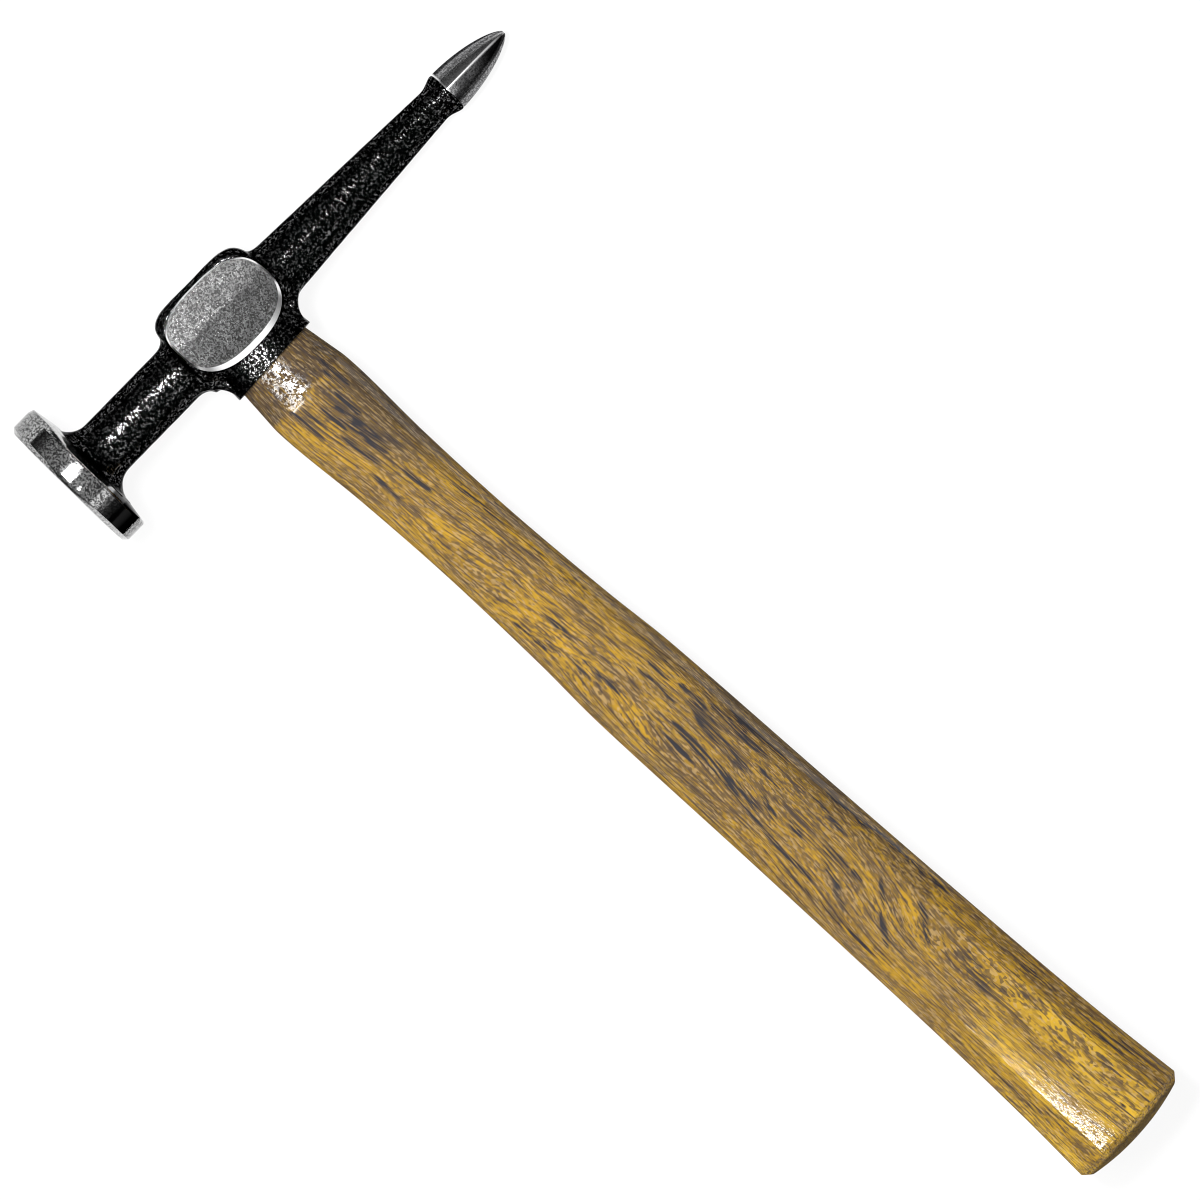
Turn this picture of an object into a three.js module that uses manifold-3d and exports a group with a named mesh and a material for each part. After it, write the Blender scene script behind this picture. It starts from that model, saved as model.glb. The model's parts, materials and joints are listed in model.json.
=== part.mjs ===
// Auto body hammer: a forged steel head with a round striking disc at one end and a ground
// four-sided point at the other, hung on a hickory handle that is wedged into its eye.
//
// Lengths are millimetres and angles are degrees. The hammer is drawn in its own frame: the origin
// is the middle of the eye, +X runs down the handle to the butt, +Y along the head to the point,
// and +Z out of the upper cheek. At the end the whole hammer is laid on the bench.

import * as THREE from 'three';
import { mergeVertices } from 'three/addons/utils/BufferGeometryUtils.js';
import Module from 'manifold-3d';

const wasm = await Module();
wasm.setup();

// Driving dimensions of the head, with reaches taken from the middle of the eye
const faceReach = 57.9;
const pointReach = 99.3;
const hangAngle = 2.6;

// Striking disc: a crowned face, a chamfered edge, a round rim and a shallow cone behind
const discDiameter = 40;
const faceFlatDiameter = 22;
const faceCrown = 0.3;
const faceChamfer = 1.15;
const rimWidth = 5.3;
const rimBackBevel = 0.5;
const backConeDiameter = 24.6;
const backConeRise = 1.2;

// Neck between the disc and the body
const neckDiameter = 15.4;
const neckFillet = 6;
const neckRootDiameter = 20.4;
const neckRootLength = 3.8;

// Body round the eye, with a flat ground pad on each cheek
const bodyLength = 31;
const bodyMiddle = 0.4;
const bodyCentreRise = 1.9;
const crownHeight = 12.2;
const crownShift = 0.8;
const bodyDepth = 11.4;
const cheekThickness = 21.6;
const bodyBevel = 1.6;
const padThickness = 23;
const padLength = 30.2;
const padCrownHeight = 10.6;
const padHandleHeight = 11.2;
const padSideBevel = 0.4;
const padHandleBevel = 1.6;
const padBevelDepth = 0.8;

// Collar below the body, where the handle enters, and the webs that join it to neck and arm
const lipPlace = 15;
const lipWidth = 25.8;
const lipThickness = 21.2;
const collarGrowth = 0.7;
const lipEdge = 0.5;
const webInset = 0.2;
const faceWebRadius = 8.4;
const pointWebRadius = 7;
const webThickness = 10;

// Arm from the body to the ground point
const armLean = 0.75;
const armRise = 0.25;
const armRootDiameter = 15.3;
const armFlareDiameter = 18.4;
const armFlareLength = 4.6;
const armWaistDiameter = 9.26;
const armUpsetLength = 5;

// Ground point
const pointLength = 20.4;
const pointWidth = 11.8;
const pointRoll = -3.5;

// Tenon in the eye: its mouth at the lip, its narrowest place and its end below the crown
const fitClearance = 0.3;
const tenonRecess = 0.7;
const mouthWidth = 22.7;
const mouthThickness = 18.2;
const eyeWaistPlace = 3;
const tenonWaistWidth = 20.4;
const tenonWaistThickness = 15.2;
const tenonEndWidth = 21.4;
const tenonEndThickness = 16.6;

// Handle below the lip: a place down from the lip and a width for each station
const handleReach = 303.4;
const shoulderPlace = 13.5;
const shoulderWidth = 25.5;
const throatPlace = 39.6;
const throatWidth = 23.4;
const waistPlace = 68;
const waistWidth = 22.8;
const swellPlace = 99.3;
const swellWidth = 24.6;
const gripPlace = 120;
const gripWidth = 26.9;
const palmPlace = 174;
const palmWidth = 28.2;
const heelPlace = 236;
const heelWidth = 30.4;
const flarePlace = 264;
const flareWidth = 32.3;
const buttWidth = 34.7;
const buttChamfer = 2;
const buttDome = 1.9;
const facetStartPlace = 135;
const facetFullPlace = 255;

// Wedges driven into the tenon from the crown
const kerfWidth = 3.6;
const kerfFootWidth = 1.3;
const kerfDepth = 23;
const woodWedgeDepth = 21;
const steelWedgeSpacing = 10.4;
const steelWedgeThickness = 2;
const steelWedgeFootThickness = 0.7;
const steelWedgeWidth = 11;
const steelWedgeDepth = 12;

// A cutter runs past the face that it opens by this much
const overrun = 2;

// Shape exponents and shares, which carry no length
const crownPower = 5;
const bodyHandlePower = 2.5;
const padCrownPower = 3;
const eyePower = 2.3;
const handlePower = 2.25;
const pointLengthPower = 1.8;
const pointWidthPower = 0.62;
const facetBulgeShare = 0.07;
const buttFlatShare = 0.58;
const buttSideShare = 0.56;
const faceEaseShare = 0.28;

// Thickness of the handle as a share of its width, station by station
const shoulderThicknessShare = 0.77;
const throatThicknessShare = 0.77;
const waistThicknessShare = 0.765;
const swellThicknessShare = 0.755;
const gripThicknessShare = 0.75;
const palmThicknessShare = 0.75;
const heelThicknessShare = 0.74;
const flareThicknessShare = 0.73;
const buttThicknessShare = 0.72;

// Counts of facets
const discSides = 60;
const armSides = 40;
const outlinePoints = 64;
const ovalPoints = 48;
const facetSteps = 4;
const handleSteps = 26;

// Values worked out from the sizes
const half = (size) => size / 2;
const radians = (degrees) => THREE.MathUtils.degToRad(degrees);
const crownPlace = -(bodyCentreRise + crownHeight);
const tenonEndPlace = crownPlace + tenonRecess;
const lipToButt = handleReach - lipPlace;
const pointBase = pointReach - pointLength;

// A closed geometry as a solid. Vertices are merged, empty triangles dropped and faces turned out.
function solid(geometry) {
  const bare = geometry.clone();
  bare.deleteAttribute('normal');
  bare.deleteAttribute('uv');
  const merged = mergeVertices(bare);
  const position = merged.getAttribute('position');
  const index = merged.getIndex().array;
  const corners = [];
  for (let i = 0; i < index.length; i += 3) {
    const [a, b, c] = [index[i], index[i + 1], index[i + 2]];
    if (a !== b && b !== c && c !== a) {
      corners.push([a, b, c]);
    }
  }
  const at = (i) => new THREE.Vector3().fromBufferAttribute(position, i);
  const volume = corners.reduce((sum, [a, b, c]) => sum + at(a).dot(at(b).cross(at(c))), 0);
  const turned = volume < 0 ? corners.map(([a, b, c]) => [a, c, b]) : corners;
  const triVerts = Uint32Array.from(turned.flat());
  const vertProperties = Float32Array.from(position.array);
  return new wasm.Manifold(new wasm.Mesh({ numProp: 3, vertProperties, triVerts }));
}

// The surface of a solid as a geometry that a mesh can carry
function surface(shape) {
  const mesh = shape.getMesh();
  const geometry = new THREE.BufferGeometry();
  geometry.setAttribute('position', new THREE.BufferAttribute(mesh.vertProperties, mesh.numProp));
  geometry.setIndex(new THREE.BufferAttribute(mesh.triVerts, 1));
  geometry.computeVertexNormals();
  return geometry;
}

// A closed skin over rings of equally many points, with a flat fan over the first and last ring
function loft(rings) {
  const count = rings[0].length;
  const points = rings.flat();
  const index = [];
  for (let ring = 0; ring < rings.length - 1; ring += 1) {
    for (let i = 0; i < count; i += 1) {
      const a = ring * count + i;
      const b = ring * count + (i + 1) % count;
      index.push(a, b, a + count, b, b + count, a + count);
    }
  }
  const middle = (ring) => ring.reduce((sum, p) => sum.add(p), new THREE.Vector3()).divideScalar(count);
  const last = (rings.length - 1) * count;
  const startHub = points.push(middle(rings[0])) - 1;
  const endHub = points.push(middle(rings[rings.length - 1])) - 1;
  for (let i = 0; i < count; i += 1) {
    const next = (i + 1) % count;
    index.push(startHub, next, i, endHub, last + i, last + next);
  }
  const geometry = new THREE.BufferGeometry().setFromPoints(points);
  geometry.setIndex(index);
  return geometry;
}

// One coordinate of a superellipse: a unit circle's, drawn out towards the corners of a square
function squared(value, power) {
  return Math.sign(value) * Math.abs(value) ** (2 / power);
}

// The oval of the eye, the tenon or the collar at its place along the handle
function oval({ x, width, thickness }) {
  return Array.from({ length: ovalPoints }, (_, i) => {
    const angle = (2 * Math.PI * i) / ovalPoints;
    const y = half(width) * squared(Math.cos(angle), eyePower);
    const z = half(thickness) * squared(Math.sin(angle), eyePower);
    return new THREE.Vector3(x, y, z);
  });
}

// The barrel outline of the cheek, seen along Z: one power on the crown side and one towards the
// handle, about the body's own middle. The crown is drawn a little towards the face.
function barrelOutline(length, crownSide, handleSide, powers) {
  return Array.from({ length: outlinePoints }, (_, i) => {
    const angle = (2 * Math.PI * i) / outlinePoints;
    const up = Math.sin(angle) < 0;
    const power = up ? powers.crown : powers.handle;
    const height = up ? crownSide : handleSide;
    const rise = squared(Math.sin(angle), power);
    const shift = up ? crownShift * rise : 0;
    const x = height * rise - bodyCentreRise;
    const y = half(length) * squared(Math.cos(angle), power) + bodyMiddle + shift;
    return new THREE.Vector2(x, y);
  });
}

// A smooth value at a place among stations, as a cubic that passes through each of them
function along(stations, place, key) {
  const last = stations.length - 2;
  const found = stations.findIndex((station) => station.at > place);
  const i = found < 0 ? last : THREE.MathUtils.clamp(found - 1, 0, last);
  const pick = (k) => stations[THREE.MathUtils.clamp(k, 0, stations.length - 1)];
  const slope = (a, b) => (b[key] - a[key]) / (b.at - a.at);
  const [start, end] = [stations[i], stations[i + 1]];
  const span = end.at - start.at;
  const startSlope = i > 0 ? slope(pick(i - 1), end) : slope(start, end);
  const endSlope = i < last ? slope(start, pick(i + 2)) : slope(start, end);
  const t = (place - start.at) / span;
  const rise = t * t * (3 - 2 * t);
  const pull = t * (1 - t) * (1 - t) * startSlope * span;
  const push = t * t * (1 - t) * endSlope * span;
  return start[key] + (end[key] - start[key]) * rise + pull - push;
}

// Profile of the disc and neck, as radius against distance along the head's axis
function discProfile() {
  const rim = half(discDiameter);
  const neck = half(neckDiameter);
  const root = half(neckRootDiameter);
  const cone = half(backConeDiameter);
  const faceEdge = rim - faceChamfer;
  const easeRadius = half(half(faceFlatDiameter) + faceEdge);
  const chamferPlace = -faceReach + faceCrown;
  const rimStart = chamferPlace + faceChamfer;
  const rimEnd = rimStart + rimWidth;
  const conePlace = rimEnd + rimBackBevel + backConeRise;
  const profile = [
    new THREE.Vector2(0, -faceReach),
    new THREE.Vector2(half(faceFlatDiameter), -faceReach),
    new THREE.Vector2(easeRadius, -faceReach + faceCrown * faceEaseShare),
    new THREE.Vector2(faceEdge, chamferPlace),
    new THREE.Vector2(rim, rimStart),
    new THREE.Vector2(rim, rimEnd),
    new THREE.Vector2(rim - rimBackBevel, rimEnd + rimBackBevel),
  ];
  const filletMiddle = neck + neckFillet;
  const footAngle = Math.acos((filletMiddle - cone) / neckFillet);
  const filletPlace = conePlace + neckFillet * Math.sin(footAngle);
  const filletSteps = 6;
  for (let i = 0; i <= filletSteps; i += 1) {
    const angle = footAngle * (1 - i / filletSteps);
    const radius = filletMiddle - neckFillet * Math.cos(angle);
    profile.push(new THREE.Vector2(radius, filletPlace - neckFillet * Math.sin(angle)));
  }
  const rootEnd = bodyMiddle - half(bodyLength);
  profile.push(...rootFlare(neck, root, rootEnd - neckRootLength, rootEnd));
  profile.push(new THREE.Vector2(root, 0), new THREE.Vector2(0, 0));
  return profile;
}

// A quarter-ellipse flare, from a slim radius at one place to a thick one where the body begins
function rootFlare(slim, thick, start, end) {
  const steps = 4;
  return Array.from({ length: steps + 1 }, (_, i) => {
    const angle = (half(Math.PI) * i) / steps;
    const radius = thick - (thick - slim) * Math.cos(angle);
    const place = THREE.MathUtils.lerp(start, end, Math.sin(angle));
    return new THREE.Vector2(radius, place);
  });
}

// Profile of the arm, slim just before the point and upset to the point's width at its end
function armProfile() {
  const base = half(pointWidth);
  const waist = half(armWaistDiameter);
  const root = half(armRootDiameter);
  const flare = half(armFlareDiameter);
  const waistPlaceOnArm = pointBase - armUpsetLength;
  const flareStart = bodyMiddle + half(bodyLength) - half(bodyBevel);
  const profile = [new THREE.Vector2(0, 0), new THREE.Vector2(flare, 0)];
  const flareCurve = rootFlare(root, flare, flareStart + armFlareLength, flareStart);
  profile.push(...flareCurve.reverse());
  const upsetSteps = 5;
  for (let i = 0; i <= upsetSteps; i += 1) {
    const t = i / upsetSteps;
    const ease = t * t * (3 - 2 * t);
    const radius = THREE.MathUtils.lerp(waist, base, ease);
    profile.push(new THREE.Vector2(radius, waistPlaceOnArm + armUpsetLength * t));
  }
  profile.push(new THREE.Vector2(0, pointBase));
  return profile;
}

// The ground point: four slightly bulged facets that meet in ridges and curve in to a blunt end
function groundPoint() {
  const ringShares = [-0.08, 0.08, 0.2, 0.33, 0.46, 0.58, 0.69, 0.79, 0.88, 0.95, 0.99];
  const facets = 4;
  const ridge = half(pointWidth);
  const rings = ringShares.map((share) => {
    const reach = Math.max(share, 0);
    const radius = ridge * (1 - reach ** pointLengthPower) ** pointWidthPower;
    const ring = [];
    for (let facet = 0; facet < facets; facet += 1) {
      const start = (2 * Math.PI * facet) / facets + radians(pointRoll);
      const end = start + (2 * Math.PI) / facets;
      const middle = half(start + end);
      for (let step = 0; step < facetSteps; step += 1) {
        const t = step / facetSteps;
        const bulge = facetBulgeShare * radius * Math.sin(Math.PI * t);
        const x = radius * THREE.MathUtils.lerp(Math.sin(start), Math.sin(end), t) + bulge * Math.sin(middle);
        const z = radius * THREE.MathUtils.lerp(Math.cos(start), Math.cos(end), t) + bulge * Math.cos(middle);
        ring.push(new THREE.Vector3(x, pointBase + pointLength * share, z));
      }
    }
    return ring;
  });
  return loft(rings);
}

// The forged block round the eye, extruded through both cheeks with its edges bevelled
function bodyBlock() {
  const powers = { crown: crownPower, handle: bodyHandlePower };
  const outline = new THREE.Shape(barrelOutline(bodyLength, crownHeight, bodyDepth, powers));
  const depth = cheekThickness - 2 * bodyBevel;
  const block = new THREE.ExtrudeGeometry(outline, {
    depth,
    bevelSize: bodyBevel,
    bevelThickness: bodyBevel,
    bevelOffset: -bodyBevel,
    bevelSegments: 3,
    curveSegments: 1,
  });
  return block.translate(0, 0, -half(depth));
}

// The slab that both ground pads are the ends of: a wide bevel towards the handle, a fine one round
// the rest
function padSlab() {
  const powers = { crown: padCrownPower, handle: bodyHandlePower };
  const wide = barrelOutline(padLength, padCrownHeight, padHandleHeight, powers);
  const narrow = barrelOutline(
    padLength - 2 * padSideBevel,
    padCrownHeight - padSideBevel,
    padHandleHeight - padHandleBevel,
    powers,
  );
  const ring = (outline, z) => outline.map((p) => new THREE.Vector3(p.x, p.y, z));
  const face = half(padThickness);
  const edge = face - padBevelDepth;
  return loft([ring(narrow, -face), ring(wide, -edge), ring(wide, edge), ring(narrow, face)]);
}

// The oval collar that the handle enters, a little wider where it leaves the body
function collar() {
  const ring = (x, growth) => oval({ x, width: lipWidth + growth, thickness: lipThickness + half(growth) });
  return loft([
    ring(eyeWaistPlace, 2 * collarGrowth),
    ring(half(eyeWaistPlace + lipPlace), collarGrowth),
    ring(lipPlace - lipEdge, 0),
    ring(lipPlace, -2 * lipEdge),
  ]);
}

// The web that fills the corners between collar, neck and arm with a hollow curve on each side
function collarWeb() {
  const side = half(lipWidth) - webInset;
  const foot = lipPlace - lipEdge;
  const outline = new THREE.Shape();
  outline.moveTo(0, -side - faceWebRadius);
  outline.lineTo(foot - faceWebRadius, -side - faceWebRadius);
  outline.absarc(foot, -side - faceWebRadius, faceWebRadius, Math.PI, half(Math.PI), true);
  outline.lineTo(foot, side);
  outline.absarc(foot, side + pointWebRadius, pointWebRadius, -half(Math.PI), Math.PI, true);
  outline.lineTo(0, side + pointWebRadius);
  const depth = webThickness - 2 * lipEdge;
  const web = new THREE.ExtrudeGeometry(outline, {
    depth,
    bevelSize: lipEdge,
    bevelThickness: lipEdge,
    bevelOffset: -lipEdge,
    bevelSegments: 2,
    curveSegments: 10,
  });
  return web.translate(0, 0, -half(depth));
}

// Sections of the tenon, or of the eye where a clearance is added, from below the lip to the crown
function eyeSections(clearance, start, end) {
  const grown = (size) => size + 2 * clearance;
  const stations = [
    { at: tenonEndPlace, width: grown(tenonEndWidth), thickness: grown(tenonEndThickness) },
    { at: eyeWaistPlace, width: grown(tenonWaistWidth), thickness: grown(tenonWaistThickness) },
    { at: lipPlace, width: grown(mouthWidth), thickness: grown(mouthThickness) },
  ];
  const steps = 6;
  return Array.from({ length: steps + 1 }, (_, i) => {
    const x = THREE.MathUtils.lerp(start, end, i / steps);
    const place = THREE.MathUtils.clamp(x, tenonEndPlace, lipPlace);
    const width = along(stations, place, 'width');
    const thickness = along(stations, place, 'thickness');
    return { x, width, thickness };
  });
}

function makeHead() {
  const lean = (geometry) => geometry.rotateZ(-radians(hangAngle));
  const raise = (geometry) => geometry.rotateZ(radians(armLean)).translate(-armRise, 0, 0);
  const neckAndDisc = new THREE.LatheGeometry(discProfile(), discSides);
  const arm = raise(new THREE.LatheGeometry(armProfile(), armSides));
  const point = raise(groundPoint());
  const eye = loft(eyeSections(fitClearance, crownPlace - overrun, lipPlace + overrun).map(oval));
  return [arm, point, bodyBlock(), padSlab()]
    .reduce((head, geometry) => head.add(solid(lean(geometry))), solid(lean(neckAndDisc)))
    .add(solid(collar()))
    .add(solid(collarWeb()))
    .subtract(solid(eye));
}

// The section of the handle at a place: an oval that turns into an eight-sided one towards the butt
function handleRing(x, width, thickness, facetShare) {
  const [w, h] = [half(width), half(thickness)];
  const [flat, side] = [w * buttFlatShare, h * buttSideShare];
  const corners = [
    [w, -side], [w, side], [flat, h], [-flat, h],
    [-w, side], [-w, -side], [-flat, -h], [flat, -h],
  ];
  const ring = [];
  corners.forEach((corner, i) => {
    const next = corners[(i + 1) % corners.length];
    for (let step = 0; step < facetSteps; step += 1) {
      const t = step / facetSteps;
      const y = THREE.MathUtils.lerp(corner[0], next[0], t);
      const z = THREE.MathUtils.lerp(corner[1], next[1], t);
      const size = (Math.abs(y / w) ** handlePower + Math.abs(z / h) ** handlePower) ** (1 / handlePower);
      const toOval = THREE.MathUtils.lerp(1 / size, 1, facetShare);
      ring.push(new THREE.Vector3(x, y * toOval, z * toOval));
    }
  });
  return ring;
}

// Rings of the handle from the tenon's end to the middle of the domed butt
function handleRings() {
  const buttEdge = lipToButt - buttDome - buttChamfer;
  const stations = [
    { at: 0, width: mouthWidth, thicknessShare: mouthThickness / mouthWidth },
    { at: shoulderPlace, width: shoulderWidth, thicknessShare: shoulderThicknessShare },
    { at: throatPlace, width: throatWidth, thicknessShare: throatThicknessShare },
    { at: waistPlace, width: waistWidth, thicknessShare: waistThicknessShare },
    { at: swellPlace, width: swellWidth, thicknessShare: swellThicknessShare },
    { at: gripPlace, width: gripWidth, thicknessShare: gripThicknessShare },
    { at: palmPlace, width: palmWidth, thicknessShare: palmThicknessShare },
    { at: heelPlace, width: heelWidth, thicknessShare: heelThicknessShare },
    { at: flarePlace, width: flareWidth, thicknessShare: flareThicknessShare },
    { at: buttEdge, width: buttWidth, thicknessShare: buttThicknessShare },
  ];
  const tenon = eyeSections(0, tenonEndPlace, lipPlace)
    .map((section) => handleRing(section.x, section.width, section.thickness, 0));
  const shoulderShares = [0.25, 0.5, 0.75, 1];
  const handleShares = Array.from({ length: handleSteps }, (_, i) => (i + 1) / handleSteps);
  const places = [
    ...shoulderShares.map((share) => share * shoulderPlace),
    ...handleShares.map((share) => THREE.MathUtils.lerp(shoulderPlace, buttEdge, share)),
  ];
  const free = places.map((place) => {
    const width = along(stations, place, 'width');
    const thickness = width * along(stations, place, 'thicknessShare');
    const facetShare = THREE.MathUtils.smoothstep(place, facetStartPlace, facetFullPlace);
    return handleRing(lipPlace + place, width, thickness, facetShare);
  });
  const domeShares = [1, 0.75, 0.5, 0.25];
  const endThickness = buttWidth * buttThicknessShare;
  const dome = domeShares.map((share) => {
    const x = handleReach - buttDome * share * share;
    const width = (buttWidth - 2 * buttChamfer) * share;
    const thickness = (endThickness - 2 * buttChamfer) * share;
    return handleRing(x, width, thickness, 1);
  });
  return [...tenon, ...free, ...dome];
}

// A slot or wedge that tapers from the tenon's end down into it: a trapezium in the plane of the
// handle's axis and its taper, drawn out across
function taper(topWidth, footWidth, depth, length, lift) {
  const outline = new THREE.Shape([
    new THREE.Vector2(-lift, -half(topWidth)),
    new THREE.Vector2(depth, -half(footWidth)),
    new THREE.Vector2(depth, half(footWidth)),
    new THREE.Vector2(-lift, half(topWidth)),
  ]);
  const geometry = new THREE.ExtrudeGeometry(outline, { depth: length, bevelEnabled: false });
  return geometry.translate(tenonEndPlace, 0, -half(length));
}

// The kerf is sawn along the eye's long axis, so its taper is turned to lie in X and Z
function kerf() {
  return taper(kerfWidth, kerfFootWidth, kerfDepth, 2 * tenonEndWidth, overrun).rotateX(half(Math.PI));
}

function steelWedgePlaces() {
  return [-half(steelWedgeSpacing), half(steelWedgeSpacing)];
}

// A slot for a steel wedge, a clearance wider than the wedge on every side
function steelWedgeSlot(place) {
  const grown = (size) => size + 2 * fitClearance;
  const depth = steelWedgeDepth + fitClearance;
  const slot = taper(
    grown(steelWedgeThickness),
    grown(steelWedgeFootThickness),
    depth,
    grown(steelWedgeWidth),
    overrun,
  );
  return slot.translate(0, place, 0);
}

function cutSteelSlots(shape) {
  return steelWedgePlaces().reduce((cut, place) => cut.subtract(solid(steelWedgeSlot(place))), shape);
}

function makeHandle() {
  const blank = solid(loft(handleRings()));
  return cutSteelSlots(blank.subtract(solid(kerf())));
}

// The wood wedge fills the kerf, trimmed to the tenon's own section and crossed by the steel wedges
function makeWoodWedge() {
  const shrunk = (size) => size - 2 * fitClearance;
  const block = taper(shrunk(kerfWidth), shrunk(kerfFootWidth), woodWedgeDepth, 2 * tenonEndWidth, 0);
  const envelope = loft(eyeSections(0, tenonEndPlace, lipPlace).map(oval));
  return cutSteelSlots(solid(block.rotateX(half(Math.PI))).intersect(solid(envelope)));
}

function makeSteelWedge(place) {
  const wedge = taper(
    steelWedgeThickness,
    steelWedgeFootThickness,
    steelWedgeDepth,
    steelWedgeWidth,
    0,
  );
  return solid(wedge.translate(0, place, 0));
}

// Materials
const forgedSteel = new THREE.MeshStandardMaterial({ color: 0x1d1d1f, roughness: 0.5, metalness: 0.9 });
const hickory = new THREE.MeshStandardMaterial({ color: 0xa8803c, roughness: 0.35, metalness: 0 });
const paleWood = new THREE.MeshStandardMaterial({ color: 0xc9a86e, roughness: 0.6, metalness: 0 });
const wedgeSteel = new THREE.MeshStandardMaterial({ color: 0x8c8f94, roughness: 0.4, metalness: 1 });

function piece(name, shape, material) {
  const mesh = new THREE.Mesh(surface(shape), material);
  mesh.name = name;
  return mesh;
}

// Lays the hammer on the bench: it is turned until the lowest points of the disc, the ground point
// and the butt are level, and then lifted to the bench and centred over the origin.
function layOnBench(hammer, feet) {
  const up = new THREE.Vector3(0, 0, 1);
  const lowest = (foot) => foot
    .map((point) => point.clone().applyQuaternion(hammer.quaternion))
    .reduce((low, point) => (point.z < low.z ? point : low));
  const rounds = 12;
  for (let i = 0; i < rounds; i += 1) {
    const [a, b, c] = feet.map(lowest);
    const normal = b.sub(a).cross(c.sub(a)).normalize();
    const level = normal.multiplyScalar(Math.sign(normal.z));
    hammer.quaternion.premultiply(new THREE.Quaternion().setFromUnitVectors(level, up));
  }
  hammer.updateMatrixWorld(true);
  const box = new THREE.Box3().setFromObject(hammer, true);
  const middle = box.getCenter(new THREE.Vector3());
  hammer.position.set(-middle.x, -middle.y, -box.min.z);
}

// The points of a mesh that a test picks out
function pointsWhere(mesh, test) {
  const position = mesh.geometry.getAttribute('position');
  const points = [];
  for (let i = 0; i < position.count; i += 1) {
    points.push(new THREE.Vector3().fromBufferAttribute(position, i));
  }
  return points.filter(test);
}

const head = piece('hammer_head', makeHead(), forgedSteel);
const handle = piece('handle', makeHandle(), hickory);
const woodWedge = piece('wood_wedge', makeWoodWedge(), paleWood);
const [faceSideWedge, pointSideWedge] = steelWedgePlaces();
const hammer = new THREE.Group();
hammer.add(
  head,
  handle,
  woodWedge,
  piece('steel_wedge_face_side', makeSteelWedge(faceSideWedge), wedgeSteel),
  piece('steel_wedge_point_side', makeSteelWedge(pointSideWedge), wedgeSteel),
);
layOnBench(hammer, [
  pointsWhere(head, (point) => point.y < -half(faceReach)),
  pointsWhere(head, (point) => point.y > half(pointReach)),
  pointsWhere(handle, (point) => point.x > half(handleReach)),
]);

export default hammer;
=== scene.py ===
"""Looks of the auto body hammer: forged head, ground faces, varnished hickory handle and its wedges.

Shapes are worked out in millimetres in the hammer's own frame: the origin is the middle of the eye,
+X runs down the handle to the butt, +Y along the head to the point and +Z out of the upper cheek.
The record's mounts say how that frame lies on the bench.
"""
import json
import math

import bmesh
import bpy
import numpy as np
from mathutils import Matrix, Vector, noise


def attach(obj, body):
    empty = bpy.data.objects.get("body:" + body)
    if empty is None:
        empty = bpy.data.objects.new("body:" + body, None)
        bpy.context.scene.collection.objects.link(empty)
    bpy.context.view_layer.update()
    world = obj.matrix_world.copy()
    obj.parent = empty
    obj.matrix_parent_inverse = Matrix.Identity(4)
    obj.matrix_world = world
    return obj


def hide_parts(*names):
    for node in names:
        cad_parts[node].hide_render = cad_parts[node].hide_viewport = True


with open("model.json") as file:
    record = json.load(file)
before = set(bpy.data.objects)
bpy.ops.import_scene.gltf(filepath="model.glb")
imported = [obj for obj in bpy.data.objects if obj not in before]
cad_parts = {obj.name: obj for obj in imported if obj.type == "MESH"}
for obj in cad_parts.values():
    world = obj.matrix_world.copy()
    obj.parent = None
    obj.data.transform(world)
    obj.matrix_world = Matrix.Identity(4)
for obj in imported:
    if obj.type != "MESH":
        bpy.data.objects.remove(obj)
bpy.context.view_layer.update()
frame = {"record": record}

MM = 0.001

# Head, in millimetres from the middle of the eye
FACE_REACH = 57.9
POINT_REACH = 99.3
HANG = math.radians(2.6)
DISC_RADIUS = 20.0
FACE_FLAT_RADIUS = 11.0
FACE_CROWN = 0.3
FACE_CHAMFER = 1.15
RIM_WIDTH = 5.3
RIM_BACK_BEVEL = 0.5
BACK_CONE_RADIUS = 12.3
BACK_CONE_RISE = 1.2
NECK_RADIUS = 7.7
NECK_FILLET = 6.0
NECK_ROOT_RADIUS = 10.2
NECK_ROOT_LENGTH = 3.8
BODY_LENGTH = 31.0
BODY_MIDDLE = 0.4
BODY_CENTRE_RISE = 1.9
CROWN_HEIGHT = 12.2
CROWN_SHIFT = 0.8
BODY_DEPTH = 11.4
CHEEK_THICKNESS = 21.6
PAD_THICKNESS = 23.0
PAD_LENGTH = 30.2
PAD_CROWN_HEIGHT = 10.6
PAD_HANDLE_HEIGHT = 11.2
PAD_SIDE_BEVEL = 0.4
PAD_HANDLE_BEVEL = 1.6
PAD_BEVEL_DEPTH = 0.8
LIP_PLACE = 15.0
LIP_WIDTH = 25.8
LIP_THICKNESS = 21.2
COLLAR_GROWTH = 0.7
LIP_EDGE = 0.5
LIP_FLARE = 0.45
LIP_SPARE = 2.0
WEB_INSET = 0.2
FACE_WEB_RADIUS = 8.4
POINT_WEB_RADIUS = 7.0
WEB_THICKNESS = 10.0
ARM_LEAN = math.radians(0.75)
ARM_RISE = 0.25
ARM_ROOT_RADIUS = 7.65
ARM_FLARE_RADIUS = 9.2
ARM_FLARE_LENGTH = 4.6
ARM_WAIST_RADIUS = 4.63
ARM_UPSET_LENGTH = 5.0
POINT_LENGTH = 20.4
POINT_RADIUS = 5.9
POINT_ROLL = math.radians(-3.5)
RIDGE_EASE = 0.4
LARGEST_RIDGE_SHARE = 0.2
FACET_BULGE_SHARE = 0.12
# The edge where the ground point begins, as shares of its radius and places past its base
POINT_BASE_EDGE = [(0.94, -0.4), (0.985, -0.1), (1.0, 0.12), (1.0, 0.4)]

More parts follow.
